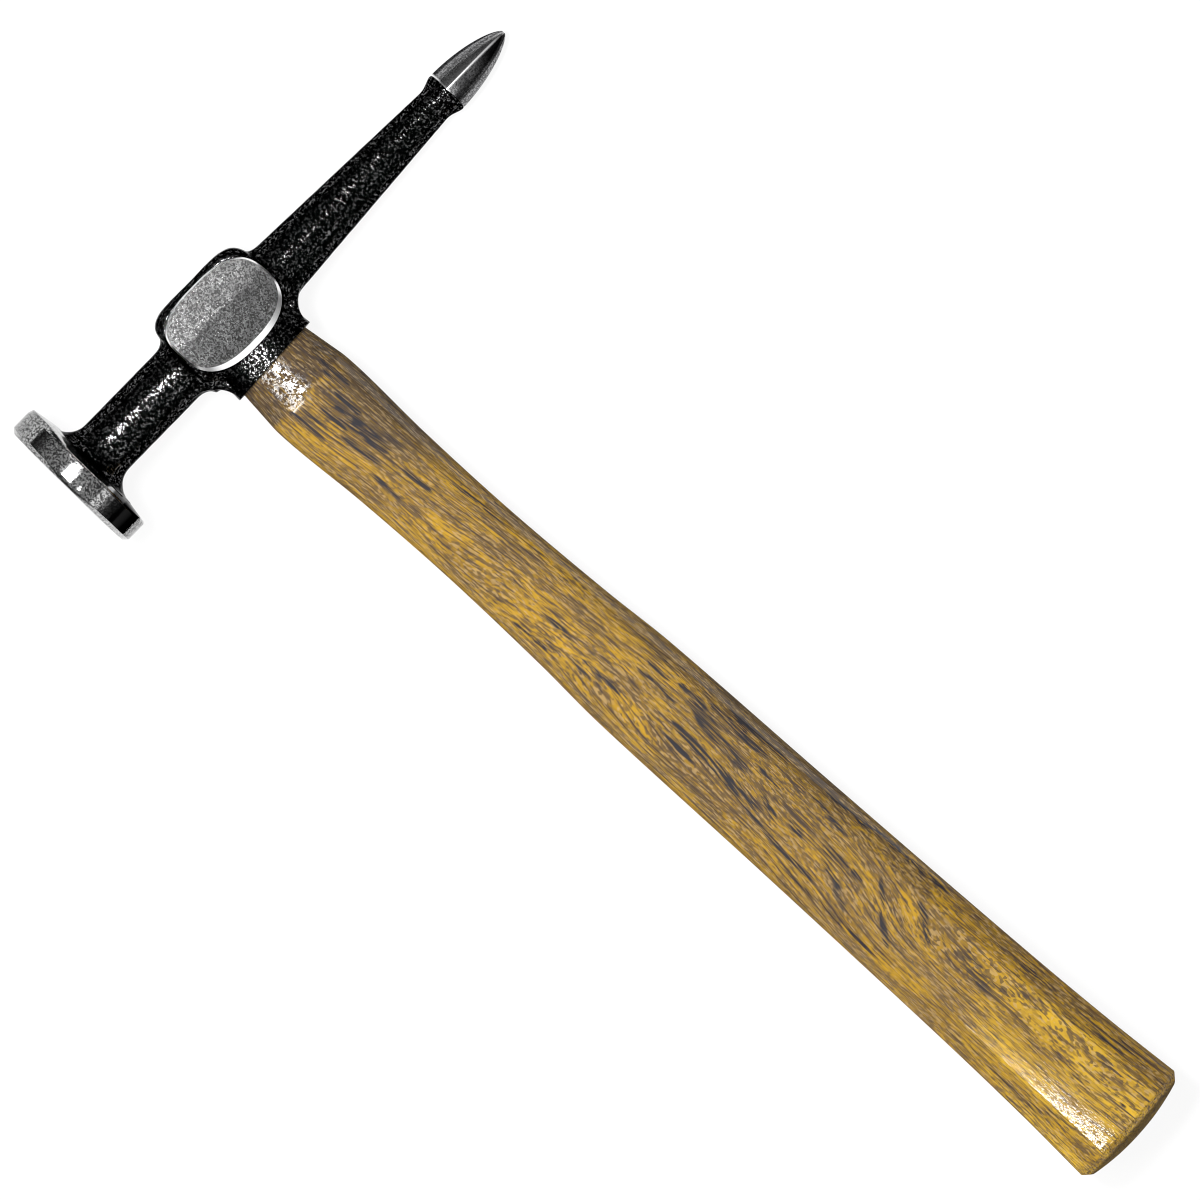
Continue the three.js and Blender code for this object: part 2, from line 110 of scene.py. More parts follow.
# Small sizes of the head: how its edges are eased and how far its shapes reach past each other
FACE_MIDDLE_RADIUS = 0.05
FACE_EDGE_RUN = 0.3
FACE_EDGE_DROP = 0.02
RIM_EASE = 0.18
CHAMFER_EASE = 0.22
BACK_BEVEL_EASE = 0.2
CONE_SWELL = 0.8
CONE_SWELL_START = 0.1
CONE_SWELL_SPAN = (6.0, 14.0)
CONE_INSET = 1.5
CONE_SINK = 0.6
NECK_SINK = 1.6
NECK_SPREAD = 1.2
ARM_SINK = 0.8
CORE_REACH = 4.0
BLOCK_ROUNDING = 1.7
PAD_ROOT = 7.0
PAD_SKIRT = (0.9, 0.2, 0.5)
CUTTER_SPARE = 3.0
FUSE_VOXEL = 0.36
FUSE_EASINGS = 14
# Noise scale and height of the slow and the quick waves in the forging
WAVES = [(0.35, 0.04), (1.1, 0.025)]

# Eye and tenon
FIT_CLEARANCE = 0.3
TENON_RECESS = 0.7
MOUTH = (22.7, 18.2)
EYE_WAIST_PLACE = 3.0
TENON_WAIST = (20.4, 15.2)
TENON_END = (21.4, 16.6)

# Handle: place below the lip, width, and thickness as a share of the width
HANDLE_REACH = 303.4
HANDLE_STATIONS = [
    (0.0, 22.7, 18.2 / 22.7),
    (13.5, 25.5, 0.77),
    (39.6, 23.4, 0.77),
    (68.0, 22.8, 0.765),
    (99.3, 24.6, 0.755),
    (120.0, 26.9, 0.75),
    (174.0, 28.2, 0.75),
    (236.0, 30.4, 0.74),
    (264.0, 32.3, 0.73),
    (284.5, 34.7, 0.72),
]
BUTT_CHAMFER = 2.0
BUTT_DOME = 1.9
FACET_START = 135.0
FACET_FULL = 240.0
BUTT_FLAT_SHARE = 0.58
BUTT_SIDE_SHARE = 0.56
FACET_SHARE = 0.88
BUTT_FACET_SHARE = 0.62
BUTT_ROUND_START = 242.0
BUTT_EDGE_RUN = 0.4
BUTT_EDGE_EASE = 0.35
DOME_EDGE_EASE = 0.5
DOME_EDGE_RISE = 0.25
DOME_EDGE_RUN = 1.0

# The shoulder is turned to a taper that ends at a soft edge this far below the lip
SHOULDER_REACH = 11.3

# Wedges: thickness at the tenon's end and at the foot, and depth. The looks are driven tight.
DRIVEN_GAP = 0.06
KERF_DEPTH = 23.0
WOOD_WEDGE = (3.0, 0.7, 21.0)
STEEL_WEDGE = (2.0, 0.7, 12.0)
STEEL_WEDGE_WIDTH = 11.0
STEEL_WEDGE_SPACING = 10.4
STEEL_WEDGE_EDGE = 0.18
SLOT_LIFT = 2.0
TRIM_SPARE = 1.0

# How far the grain has drifted across the stick at places down it
GRAIN_DRIFT = [
    (-14.0, 0.0), (25.0, 0.0), (60.0, 2.2), (100.0, 5.6), (125.0, 6.6), (150.0, 5.8),
    (180.0, 3.0), (205.0, 0.0), (228.0, -6.5), (242.0, -8.0), (304.0, -8.0),
]
DRIFT_WIDTH = 9.0
GRAIN_SLOPE = 0.03
GRAIN_WANDER = 1.6
WANDER_SCALE = np.array([0.03, 0.12, 0.12])

# Dark streaks in the stick's upper side: place down it and across it, half length, half width,
# slant and depth of colour
STREAKS = [
    (28, 8, 6, 0.45, 0, 0.7), (29, 6.5, 4.5, 0.4, 0, 0.6), (35.5, 4.5, 5, 0.6, 0, 0.9),
    (42.5, 1.8, 10, 1.1, 0.03, 1), (36, -0.8, 5.5, 0.55, 0.12, 0.9), (46, -2.2, 7.5, 0.5, 0.06, 0.8),
    (32, -4.2, 5.5, 0.4, 0.05, 0.7), (32, -6.8, 6.5, 0.6, 0.02, 0.95), (61.5, 1.5, 6, 0.5, 0.03, 0.85),
    (50, 5, 5, 0.45, 0.08, 0.5), (56.5, -4.8, 6.5, 0.45, 0.03, 0.6), (75, 7.3, 14, 0.8, 0.05, 0.4),
    (108, -8.8, 7, 0.55, 0.03, 0.65), (111, -2.2, 7.5, 0.6, -0.05, 0.55), (121, -6.5, 8, 0.5, 0, 0.4),
    (130, -4.3, 11, 0.35, -0.01, 0.7), (139.5, 3.3, 8, 0.4, 0, 0.85), (137.5, 6.2, 5, 0.45, 0, 0.6),
    (133, 9.2, 9, 0.6, 0, 0.4), (148, 7.2, 5.5, 0.6, 0, 0.85), (153.5, 5.2, 7, 1, -0.12, 0.8),
    (158, 8.6, 7, 0.9, 0.1, 0.8), (167, 10.7, 12, 0.5, 0, 0.75), (166.5, 8, 7, 0.6, 0, 0.8),
    (161, 3.2, 11, 0.8, -0.09, 0.95), (157, -1.7, 10, 0.6, -0.06, 0.95), (152.5, -5, 8.5, 0.4, 0, 0.8),
    (170, -2.8, 10, 1.1, -0.08, 1), (181, -5.2, 8.5, 0.8, -0.15, 0.95), (193, -6.9, 8.5, 0.4, -0.06, 0.9),
    (180.5, -1, 4, 0.7, -0.3, 0.7), (176, 4.5, 6, 0.6, -0.1, 0.5), (193, 7.5, 7.5, 0.5, -0.12, 0.7),
    (201, 1, 5, 0.8, 0, 0.85), (208, 0.9, 2.5, 0.7, -0.1, 0.7), (203, -3, 5.5, 0.6, -0.25, 0.6),
    (208.5, -6.3, 4, 0.7, -0.4, 0.5), (189, -0.5, 3.5, 0.9, -0.2, 0.5), (215.5, 2, 3.5, 0.7, -0.9, 0.6),
    (222, -4.5, 4.5, 0.8, -0.8, 0.75), (229, 3, 5, 0.7, -0.7, 0.65), (226, 5.6, 3, 0.7, -0.3, 0.5),
    (206, -10.2, 24, 0.35, -0.04, 0.75), (214, 12.6, 18, 0.6, 0.02, 0.6), (196, 11.5, 10, 0.6, 0, 0.5),
    (247, 2.5, 8, 2.6, -0.2, 0.35), (258, 12.2, 9, 0.7, 0.03, 0.5), (280, 13.4, 14, 0.7, 0.05, 0.5),
    (284, 11.6, 12, 0.5, 0.05, 0.45), (293, 3.4, 4, 0.35, -0.3, 0.6), (270, -12.6, 18, 0.5, -0.06, 0.35),
]

# The under side has the same streaks the other way round: each place is this less the upper one
UNDER_SWAP = 322.0
STREAK_BLUR = 1.3

# Where the stick is smoked, pale, worn or cut across its grain, and where painted shade darkens its upper
# butt facet: places down it, and SIDE across it
GRIP_SMOKE = (22, 34, 45, 70)
GRIP_SMOKE_SIDE = (-4, 3)
RUN_SMOKE = (138, 155, 185, 215)
RUN_SMOKE_SIDE = (-6, 2)
BUTT_PALE = (240, 262)
UPPER_FACET_SHADE = (225, 250)
BUTT_WEAR = (200, 240)
SHOULDER_FADE = (1.0, 0.6)
BUTT_END_GRAIN = (300.7, 301.3)
TENON_END_GRAIN = (-12.9, -13.2)

# Painted dark reflection on the rim, painted light on the chamfer, the darker part of each pad and its bright
# bevel, on the head's ground faces as places across it towards the handle
RIM_BLACK = (12.4, 13.8)
RIM_FAINT = (9.2, 10.2)
RIM_HANDLE_DIM = (1.6, 2.2)
RIM_CROWN_DIM = (-14.8, -15.4)
RIM_BARE = (19.0, 18.6)
CHAMFER_LIGHT_SPAN = (-2.0, 14.0)
PAD_DARK = (-2.5, -1.1)
PAD_LIGHTER = (10.5, 8.0)
PAD_BEVEL_BRIGHT = (0.02, 0.06)

# Rubbed ridges of the ground point and painted highlight along its base edge: distances off its ridges and
# its base edge, and places across it
RIDGE_WORN = (0.12, 0.42)
BASE_HIGHLIGHT = (0.25, 0.5)
BASE_HIGHLIGHT_SIDE = (0.2, 0.8)
SIDE_BLEND = (0.0, 0.3)
# Painted shade on its handle side deepens between these shares of its length
TIPWARD_SHARES = (0.35, 0.7)

# Shape exponents
CROWN_POWER = 5.0
BODY_HANDLE_POWER = 2.5
PAD_CROWN_POWER = 3.0
EYE_POWER = 2.3
HANDLE_POWER = 2.25
POINT_LENGTH_POWER = 1.8
POINT_WIDTH_POWER = 0.62

# The photograph, 1200 pixels square: pixels a millimetre, and the eye's middle and +X in its frame
PIXELS_PER_MM = 4.02
EYE_PIXEL = (229.92, 321.14)
HANDLE_DIRECTION = (0.7459, 0.6661)
PHOTO_SIZE = 1200.0
SENSOR_MM = 36.0
CAMERA_DISTANCE = 6000.0
CLIP_METRES = 30.0

# Lamps in the hammer's own frame: place, size, radiance and, unless it points straight down, target
LAMPS = {
    "shoulder_key": ((-108, -595, 1100), (135, 770), 23),
    "neck_key": ((-212, -117, 1100), (250, 166), 108),
    "rim_key": ((-45, -75, 1100), (100, 24), 8),
    "ridge_key": ((-330, 110, 1100), (540, 34), 16),
    "butt_key": ((270, -222, 1100), (50, 100), 75),
    "side": ((684, -319, 590), (1000, 400), 1.1, (0, 0, 0)),
    "low_fill": ((100, -1200, 130), (1600, 240), 0.5, (100, 0, 0)),
}

# Floor and room: the room's grey goes from the first to the second between two heights
FLOOR_HALF_METRES = 6.0
FLOOR_PAINT = (0.86, 0.86, 0.86, 1)
FLOOR_GLOW_SHARE = 0.9
ROOM_HEIGHTS = (0.05, 0.75)
ROOM_GREYS = (0.04, 0.45)

CROWN_PLACE = -(BODY_CENTRE_RISE + CROWN_HEIGHT)
TENON_END_PLACE = CROWN_PLACE + TENON_RECESS
POINT_BASE = POINT_REACH - POINT_LENGTH
RIM_START = -FACE_REACH + FACE_CROWN + FACE_CHAMFER
CONE_PLACE = RIM_START + RIM_WIDTH + RIM_BACK_BEVEL + BACK_CONE_RISE
# Between these places the rim's painted dark reflection gives way to the chamfer's painted light
CHAMFER_LIGHT_PLACE = RIM_START - 0.1
RIM_SHADE_PLACE = RIM_START + 0.05


def own_frame():
    """The matrix from the hammer's own frame in millimetres to the row frame in metres."""
    mounts = {m["name"]: m for m in frame["record"]["mounts"]}
    z_axis = Vector(mounts["upper_cheek"]["axis"]).normalized()
    head_y = -Vector(mounts["striking_face"]["axis"]).normalized()
    head_x = head_y.cross(z_axis).normalized()
    x_axis = head_x * math.cos(HANG) + head_y * math.sin(HANG)
    y_axis = z_axis.cross(x_axis)
    origin = Vector(mounts["striking_face"]["pos_m"]) + head_y * FACE_REACH * MM
    turn = Matrix((x_axis, y_axis, z_axis)).transposed().to_4x4()
    return Matrix.Translation(origin) @ turn @ Matrix.Scale(MM, 4)


OWN = own_frame()
OWN_TURN = OWN.to_3x3().normalized()


def turned(points, angle):
    """Points turned about Z by an angle."""
    x, y, z = np.asarray(points, dtype=float).reshape(-1, 3).T
    c, s = math.cos(angle), math.sin(angle)
    return np.stack([x * c + y * s, -x * s + y * c, z], axis=1)


def lean(points):
    """Points of the head's frame, which leans on the handle, in the hammer's own frame."""
    return turned(points, HANG)


def unlean(points):
    """Points of the hammer's own frame in the head's frame."""
    return turned(points, -HANG)


def raise_arm(points):
    """Points round the arm's own axis in the head's frame."""
    return turned(points, -ARM_LEAN) - [ARM_RISE, 0, 0]


def lower_arm(points):
    """Points of the head's frame round the arm's own axis."""
    return turned(points + [ARM_RISE, 0, 0], ARM_LEAN)


# Shapes, each as (points, faces)

def squared(value, power):
    """A sine or cosine bent so that its oval follows the given exponent."""
    return np.sign(value) * np.abs(value) ** (2 / power)


def loft(rings):
    """A closed skin over rings of equally many points, with a fan over each end."""
    rings = np.asarray(rings, dtype=float)
    ring_count, count = rings.shape[:2]
    points = np.concatenate([rings.reshape(-1, 3), rings[0].mean(0)[None], rings[-1].mean(0)[None]])
    i = np.arange(count)
    j = (i + 1) % count
    faces = []
    for ring in range(ring_count - 1):
        a = ring * count
        faces += np.stack([a + i, a + j, a + count + j, a + count + i], axis=1).tolist()
    hub = ring_count * count
    last = hub - count
    faces += [[hub, b, a] for a, b in zip(i.tolist(), j.tolist())]
    faces += [[hub + 1, last + a, last + b] for a, b in zip(i.tolist(), j.tolist())]
    return points, faces


def circle(count):
    """Cosines and sines of angles all the way round."""
    angle = np.linspace(0, 2 * math.pi, count, endpoint=False)
    return np.cos(angle), np.sin(angle)


def lathe(profile, sides):
    """A profile of (radius, place) points turned about the head's axis."""
    c, s = circle(sides)
    return loft([np.column_stack([c * radius, np.full(sides, y), s * radius]) for radius, y in profile])


def curve(start, corner, end, t):
    """A point of the curve that leaves start and reaches end along the lines through the corner."""
    return (1 - t) ** 2 * start + 2 * t * (1 - t) * corner + t * t * end


def rounded(corners, steps=5):
    """A polyline whose corners (x, y, radius) are eased by curves that start radius away from them."""
    points = []
    for k, (x, y, radius) in enumerate(corners):
        here = np.array([x, y])
        if radius == 0:
            points.append(here)
            continue
        before = np.array(corners[k - 1][:2]) - here
        after = np.array(corners[k + 1][:2]) - here
        start = here + before / np.linalg.norm(before) * radius
        end = here + after / np.linalg.norm(after) * radius
        points += [curve(start, here, end, t) for t in np.linspace(0, 1, steps)]
    return points


def flare(slim, thick, start, end, steps=10):
    """A quarter-ellipse flare from a slim radius to a thick one."""
    angles = np.linspace(0, math.pi / 2, steps)
    return [(thick - (thick - slim) * math.cos(a), start + (end - start) * math.sin(a)) for a in angles]


def barrel(length, crown_side, handle_side, crown_power, handle_power, count=240):
    """The barrel outline of the cheek in the head's frame, as (x, y)."""
    c, s = circle(count)
    up = s < 0
    power = np.where(up, crown_power, handle_power)
    height = np.where(up, crown_side, handle_side)
    rise = squared(s, power)
    shift = np.where(up, CROWN_SHIFT * rise, 0)
    x = height * rise - BODY_CENTRE_RISE
    y = length / 2 * squared(c, power) + BODY_MIDDLE + shift
    return np.stack([x, y], axis=1)


def flat_ring(outline, z):
    """An outline's points at a height."""
    return np.column_stack([outline, np.full(len(outline), z)])


def along(stations, place, column):
    """A smooth value among stations: a cubic that passes through each of them."""
    at = [s[0] for s in stations]
    values = [s[column] for s in stations]
    last = len(stations) - 2
    i = int(np.clip(np.searchsorted(at, place, side="right") - 1, 0, last))

    def slope(a, b):
        return (values[b] - values[a]) / (at[b] - at[a])

    span = at[i + 1] - at[i]
    start_slope = slope(i - 1, i + 1) if i > 0 else slope(i, i + 1)
    end_slope = slope(i, i + 2) if i < last else slope(i, i + 1)
    t = (place - at[i]) / span
    rise = t * t * (3 - 2 * t)
    pull = t * (1 - t) ** 2 * start_slope * span
    push = t * t * (1 - t) * end_slope * span
    return values[i] + (values[i + 1] - values[i]) * rise + pull - push


def smoothstep(value, start, end):
    """A share that rises smoothly from 0 at start to 1 at end."""
    t = np.clip((value - start) / (end - start), 0, 1)
    return t * t * (3 - 2 * t)


def band(value, start, full, past, end):
    """A share that is 1 between full and past, and 0 before start and after end."""
    return smoothstep(value, start, full) * (1 - smoothstep(value, past, end))


def eye_size(place, clearance):
    """Width and thickness of the eye at a place, for a clearance on every side of the tenon."""
    stations = [(TENON_END_PLACE, *TENON_END), (EYE_WAIST_PLACE, *TENON_WAIST), (LIP_PLACE, *MOUTH)]
    place = min(max(place, TENON_END_PLACE), LIP_PLACE)
    return [along(stations, place, column) + 2 * clearance for column in (1, 2)]


def oval_ring(x, width, thickness, count=160):
    """A section of the eye, the tenon or the collar."""
    c, s = circle(count)
    y = width / 2 * squared(c, EYE_POWER)
    z = thickness / 2 * squared(s, EYE_POWER)
    return np.column_stack([np.full(count, x), y, z])


# Turning shapes into pieces

def new_object(name, data):
    """An object in the scene for a mesh, lamp or camera."""
    obj = bpy.data.objects.new(name, data)
    bpy.context.scene.collection.objects.link(obj)
    return obj


def raw_object(name, points, faces):
    """A bare closed object in the hammer's own frame, in millimetres, with its faces turned out."""
    mesh = bpy.data.meshes.new(name)
    mesh.from_pydata([tuple(p) for p in points], [], faces)
    mesh.update()
    work = bmesh.new()
    work.from_mesh(mesh)
    bmesh.ops.recalc_face_normals(work, faces=work.faces)
    work.to_mesh(mesh)
    work.free()
    return new_object(name, mesh)


def joined(shapes):
    """Several shapes as one."""
    points = []
    faces = []
    for shape_points, shape_faces in shapes:
        offset = sum(len(p) for p in points)
        points.append(np.asarray(shape_points))
        faces += [[v + offset for v in face] for face in shape_faces]
    return np.concatenate(points), faces


def evaluated(obj):
    """The mesh of an object with its modifiers applied. The object is deleted."""
    graph = bpy.context.evaluated_depsgraph_get()
    mesh = bpy.data.meshes.new_from_object(obj.evaluated_get(graph))
    bpy.data.objects.remove(obj)
    return mesh


def mesh_points(mesh):
    """The places of a mesh's vertices."""
    flat = np.empty(len(mesh.vertices) * 3)
    mesh.vertices.foreach_get("co", flat)
    return flat.reshape(-1, 3)


def keep_vectors(mesh, name, values):
    """Keeps three values for each vertex as an attribute that a material reads."""
    attribute = mesh.attributes.new(name, "FLOAT_VECTOR", "POINT")
    attribute.data.foreach_set("vector", values.astype(np.float32).ravel())


def finish_piece(name, mesh, node, materials, place=None, tone=None, sharp=35):
    """Puts a mesh of the hammer's own frame on the bench as a piece that replaces a CAD node.

    The materials read each point's place in millimetres, as place gives it, and its three shares
    from tone. Edges are sharp from this angle.
    """
    points = mesh_points(mesh)
    keep_vectors(mesh, "place", points if place is None else place(points))
    if tone is not None:
        keep_vectors(mesh, "tone", tone(points))
    matrix = np.array(OWN)
    row = points @ matrix[:3, :3].T + matrix[:3, 3]
    mesh.vertices.foreach_set("co", row.astype(np.float32).ravel())
    mesh.materials.clear()
    for material in materials:
        mesh.materials.append(material)
    mesh.shade_smooth()
    mesh.set_sharp_from_angle(angle=math.radians(sharp))
    mesh.update()
    mesh.name = name
    piece = new_object(name, mesh)
    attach(piece, "root")
    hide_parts(node)


# Node helpers

class Shader:
    """The node tree of a material or world, with short calls for the nodes used here."""

    def __init__(self, owner):
        owner.use_nodes = True
        self.owner = owner
        self.nodes = owner.node_tree.nodes
        self.links = owner.node_tree.links

    def put(self, socket, value):
        """Links a socket to another, or sets its value."""
        if isinstance(value, bpy.types.NodeSocket):
            self.links.new(value, socket)
        else:
            socket.default_value = value

    def give(self, name, value):
        """Links or sets an input of the material's main node."""
        self.put(self.nodes["Principled BSDF"].inputs[name], value)

    def node(self, kind, inputs=None, **settings):
        """The outputs of a new node with these settings and inputs."""
        node = self.nodes.new("ShaderNode" + kind)
        for name, value in settings.items():
            setattr(node, name, value)
        for key, value in (inputs or {}).items():
            self.put(node.inputs[key], value)
        return node.outputs

    def kept(self, name):
        return self.node("Attribute", attribute_name=name)["Vector"]

    def split(self, vector):
        return self.node("SeparateXYZ", {0: vector})

    def scaled(self, vector, scale):
        return self.node("VectorMath", {0: vector, 1: scale}, operation="MULTIPLY")[0]

    def math(self, operation, a, b=0.0, clamp=False):
        return self.node("Math", {0: a, 1: b}, operation=operation, use_clamp=clamp)[0]

    def add(self, a, b, clamp=False):
        return self.math("ADD", a, b, clamp)

    def less(self, a, b):
        return self.math("SUBTRACT", a, b)

    def times(self, a, b, clamp=False):
        return self.math("MULTIPLY", a, b, clamp)

    def most(self, a, b):
        return self.math("MAXIMUM", a, b)

    def noise(self, vector, scale, detail=2.0, roughness=0.6):
        inputs = {"Vector": vector, "Scale": scale, "Detail": detail, "Roughness": roughness}
        return self.node("TexNoise", inputs)["Fac"]

    def fibres(self, place, along, across, detail=2.0, roughness=0.6):
        """Noise with one scale along X and another across it."""
        return self.noise(self.scaled(place, (along, across, across)), 1.0, detail, roughness)

    def cells(self, vector, scale):
        """A random share for each of many small cells."""
        return self.split(self.node("TexVoronoi", {"Vector": vector, "Scale": scale})["Color"])[0]

    def ramp(self, value, low, high, to_low=0.0, to_high=1.0):
        """A smooth change from to_low to to_high as the value goes from low to high."""
        inputs = {"Value": value, "From Min": low, "From Max": high, "To Min": to_low, "To Max": to_high}
        return self.node("MapRange", inputs, interpolation_type="SMOOTHSTEP")["Result"]

    def mix(self, factor, a, b):
        a, b = ((*colour, 1) if isinstance(colour, tuple) else colour for colour in (a, b))
        return self.node("Mix", {0: factor, 6: a, 7: b}, data_type="RGBA")[2]

    def bump(self, height, distance, strength=1.0):
        return self.node("Bump", {"Height": height, "Distance": distance, "Strength": strength})["Normal"]


def new_shader(name):
    return Shader(bpy.data.materials.new(name))


# Materials

def forged_steel():
    """Black scale of a drop forging: fine pits and grains, with grey specks where it has rubbed."""
    s = new_shader("forged_steel")
    place = s.kept("place")
    coarse = s.noise(place, 1.35, 1.0)
    fine = s.noise(place, 2.8, 1.0, 0.5)
    both = s.add(s.times(coarse, 0.6), s.times(fine, 0.4))
    specks = s.times(s.ramp(both, 0.515, 0.6), s.ramp(s.cells(place, 2.2), 0.1, 0.9, 0.3, 1.0))
    s.give("Base Color", s.mix(specks, (0.0012, 0.0012, 0.0012), (0.165, 0.165, 0.167)))
    s.give("Metallic", 1.0)
    s.give("Specular Tint", (0.3, 0.3, 0.3, 1))
    s.give("Roughness", s.ramp(both, 0.4, 0.6, 0.26, 0.15))
    s.give("Normal", s.bump(both, 0.0001))
    return s.owner


def ground_steel(name, tint, roughness, lines, dark, worn, relief, depth):
    """Bright steel off the grinder, with its fine lines, speckle and duller patches.

    dark gives the share of darkening at a place, which is painted shade on the rim and the point and a darker
    part of each pad, and worn the share of bright metal, which is rubbed ridges, a bright pad bevel and
    painted light on the chamfer and the point. relief is the height of the lines in metres, and depth the
    share of the tint that speckle keeps.
    """
    def toned(share):
        return tuple(c * share for c in tint)

    s = new_shader(name)
    place = s.kept("place")
    if lines == "round":
        x, y, z = s.split(place)
        radius = s.math("SQRT", s.add(s.times(x, x), s.times(z, z)))
        round_place = {0: s.times(radius, 4.0), 1: s.times(y, 4.0), 2: s.times(x, 0.15)}
        scratch = s.node("CombineXYZ", round_place)[0]
    else:
        scratch = s.scaled(place, lines)
    patches = s.noise(place, 0.3, 1.0, 0.5)
    speckle = s.add(s.cells(place, 2.9), s.times(patches, 0.5))
    # The darkening share is painted shade on the rim and the point, and a darker part of each pad; the bright
    # share holds painted light on the chamfer and the point as well as rubbed ridges and the pad's bevel.
    scale = dark(s, place)
    rubbed = worn(s, place)
    colour = s.mix(s.ramp(patches, 0.38, 0.62), toned(0.88), toned(1.1))
    colour = s.mix(s.ramp(speckle, 0.4, 1.1), colour, toned(depth))
    # Painted shade darkens the colour and, through the tint below, its reflection; painted light and rubbed
    # ridges brighten it to nearly white metal.
    colour = s.mix(scale, colour, toned(0.03))
    polish = s.ramp(patches, 0.35, 0.65, roughness * 0.95, roughness * 1.08)
    s.give("Base Color", s.mix(rubbed, colour, (0.95, 0.95, 0.95)))
    s.give("Metallic", 1.0)
    s.give("Specular Tint", s.mix(scale, (1.0, 1.0, 1.0), (0.03, 0.03, 0.03)))
    s.give("Roughness", s.add(polish, s.times(rubbed, 0.2)))
    s.give("Normal", s.bump(s.noise(scratch, 1.0, 3.0), relief))
    return s.owner


def chamfer_painted_light(s, place):
    """Painted light on the chamfer round the striking face: none on its crown side, brightening towards the
    handle.
    """
    x, y, _ = s.split(place)
    return s.times(s.ramp(y, RIM_SHADE_PLACE, CHAMFER_LIGHT_PLACE), s.ramp(x, *CHAMFER_LIGHT_SPAN, 0.0, 0.3))


def rim_painted_shade(s, place):
    """Painted dark reflection on the handle side of the disc's rim, deepening to black towards the handle,
    with a slight darkening at its crown end.
    """
    x, y, _ = s.split(place)
    ragged = s.add(x, s.noise(place, 0.9))
    # Painted dark reflection: faint, then deep, then black towards the handle, clear again at the handle-side
    # edge, and slightly darker over the handle half and at the crown end.
    dark = s.most(s.ramp(ragged, *RIM_BLACK), s.ramp(ragged, *RIM_FAINT, 0.0, 0.8))
    edged = s.times(dark, s.ramp(ragged, *RIM_BARE))
    dimmed = s.most(s.ramp(ragged, *RIM_HANDLE_DIM, 0.0, 0.06), s.ramp(ragged, *RIM_CROWN_DIM, 0.0, 0.1))
    return s.times(s.most(edged, dimmed), s.ramp(y, CHAMFER_LIGHT_PLACE, RIM_SHADE_PLACE))


def ridges_and_painted_light(s, place):
    """The ridges of the ground point, which handling keeps bright, with a painted highlight along its base
    edge and a painted sheen on its crown side.
    """
    return s.split(s.kept("tone"))[0]


def point_painted_shade(s, place):
    """Painted shade on the ground point: its handle side, darker towards the tip, and bands on its facets."""
    return s.split(s.kept("tone"))[1]


def bright_bevel(s, place):
    """The bevel round a cheek pad, below its flat."""
    z = s.split(place)[2]
    return s.ramp(s.less(PAD_THICKNESS / 2, s.math("ABSOLUTE", z)), *PAD_BEVEL_BRIGHT)


def pad_darker_part(s, place):
    """The part of a cheek pad from its middle towards the handle, which is darker, less so near its handle
    edge.
    """
    x = s.split(place)[0]
    ragged = s.add(x, s.times(s.noise(place, 0.5, 3.0), 3.0))
    return s.times(s.ramp(ragged, *PAD_DARK), s.ramp(ragged, *PAD_LIGHTER, 0.2, 0.5))


def hickory_colour(s, place, fine, dashes):
    """Gold to brown wood with its fibres, pale flecks, dark pores and smoky streaks, darkened by painted
    shade along its upper edge and on the butt's upper facet.
    """
    streak, smoke_and_shade, _ = s.split(s.kept("tone"))
    threads = s.fibres(place, 0.03, 2.2)
    lines = s.fibres(place, 0.07, 2.2)
    strands = s.fibres(place, 0.025, 1.7, 3.0, 0.65)
    clouds = s.fibres(place, 0.04, 0.3, 3.0)
    bands = s.fibres(place, 0.014, 0.3, 2.0, 0.5)
    grain = s.cells(s.scaled(place, (0.9, 3.2, 3.2)), 1.0)
    bright = s.mix(s.ramp(smoke_and_shade, -0.05, -0.4), (0.38, 0.216, 0.015), (0.5, 0.305, 0.024))
    gold = s.mix(s.ramp(bands, 0.35, 0.65), bright, (0.33, 0.191, 0.019))
    brown = s.mix(smoke_and_shade, (0.125, 0.072, 0.022), (0.042, 0.03, 0.019))
    cloudy = s.add(s.ramp(clouds, 0.44, 0.62), smoke_and_shade, True)
    smoked = s.times(smoke_and_shade, s.ramp(fine, 0.36, 0.56, 0.62, 1.0))
    colour = s.mix(s.most(s.times(cloudy, 0.5), smoked), gold, brown)
    fibrous = s.add(s.add(s.times(fine, 0.5), s.times(dashes, 0.5)), s.times(cloudy, 0.04))
    pale = s.add(grain, s.times(cloudy, 0.15))
    tooth = s.less(grain, s.times(cloudy, 0.2))
    pores = s.add(threads, s.times(smoke_and_shade, 0.05))
    ragged = s.add(lines, s.times(grain, 0.06))
    thin = s.times(s.ramp(ragged, 0.5, 0.55), s.ramp(streak, 0.12, 0.4, 0.0, 0.97))
    haze = s.times(s.ramp(ragged, 0.4, 0.5), s.ramp(streak, 0.3, 0.9, 0.0, 0.4))
    layers = [
        (s.ramp(fibrous, 0.49, 0.6, 0.0, 0.6), brown),
        (s.ramp(pale, 0.76, 0.95, 0.0, 0.4), (0.36, 0.26, 0.14)),
        (s.ramp(tooth, 0.35, 0.0, 0.0, 0.8), (0.085, 0.056, 0.03)),
        (s.ramp(strands, 0.56, 0.61, 0.0, 0.8), (0.08, 0.051, 0.028)),
        (s.ramp(pores, 0.56, 0.61, 0.0, 0.85), (0.045, 0.033, 0.027)),
        (s.most(thin, haze), (0.02, 0.02, 0.026)),
    ]
    for share, over in layers:
        colour = s.mix(share, colour, over)
    return colour


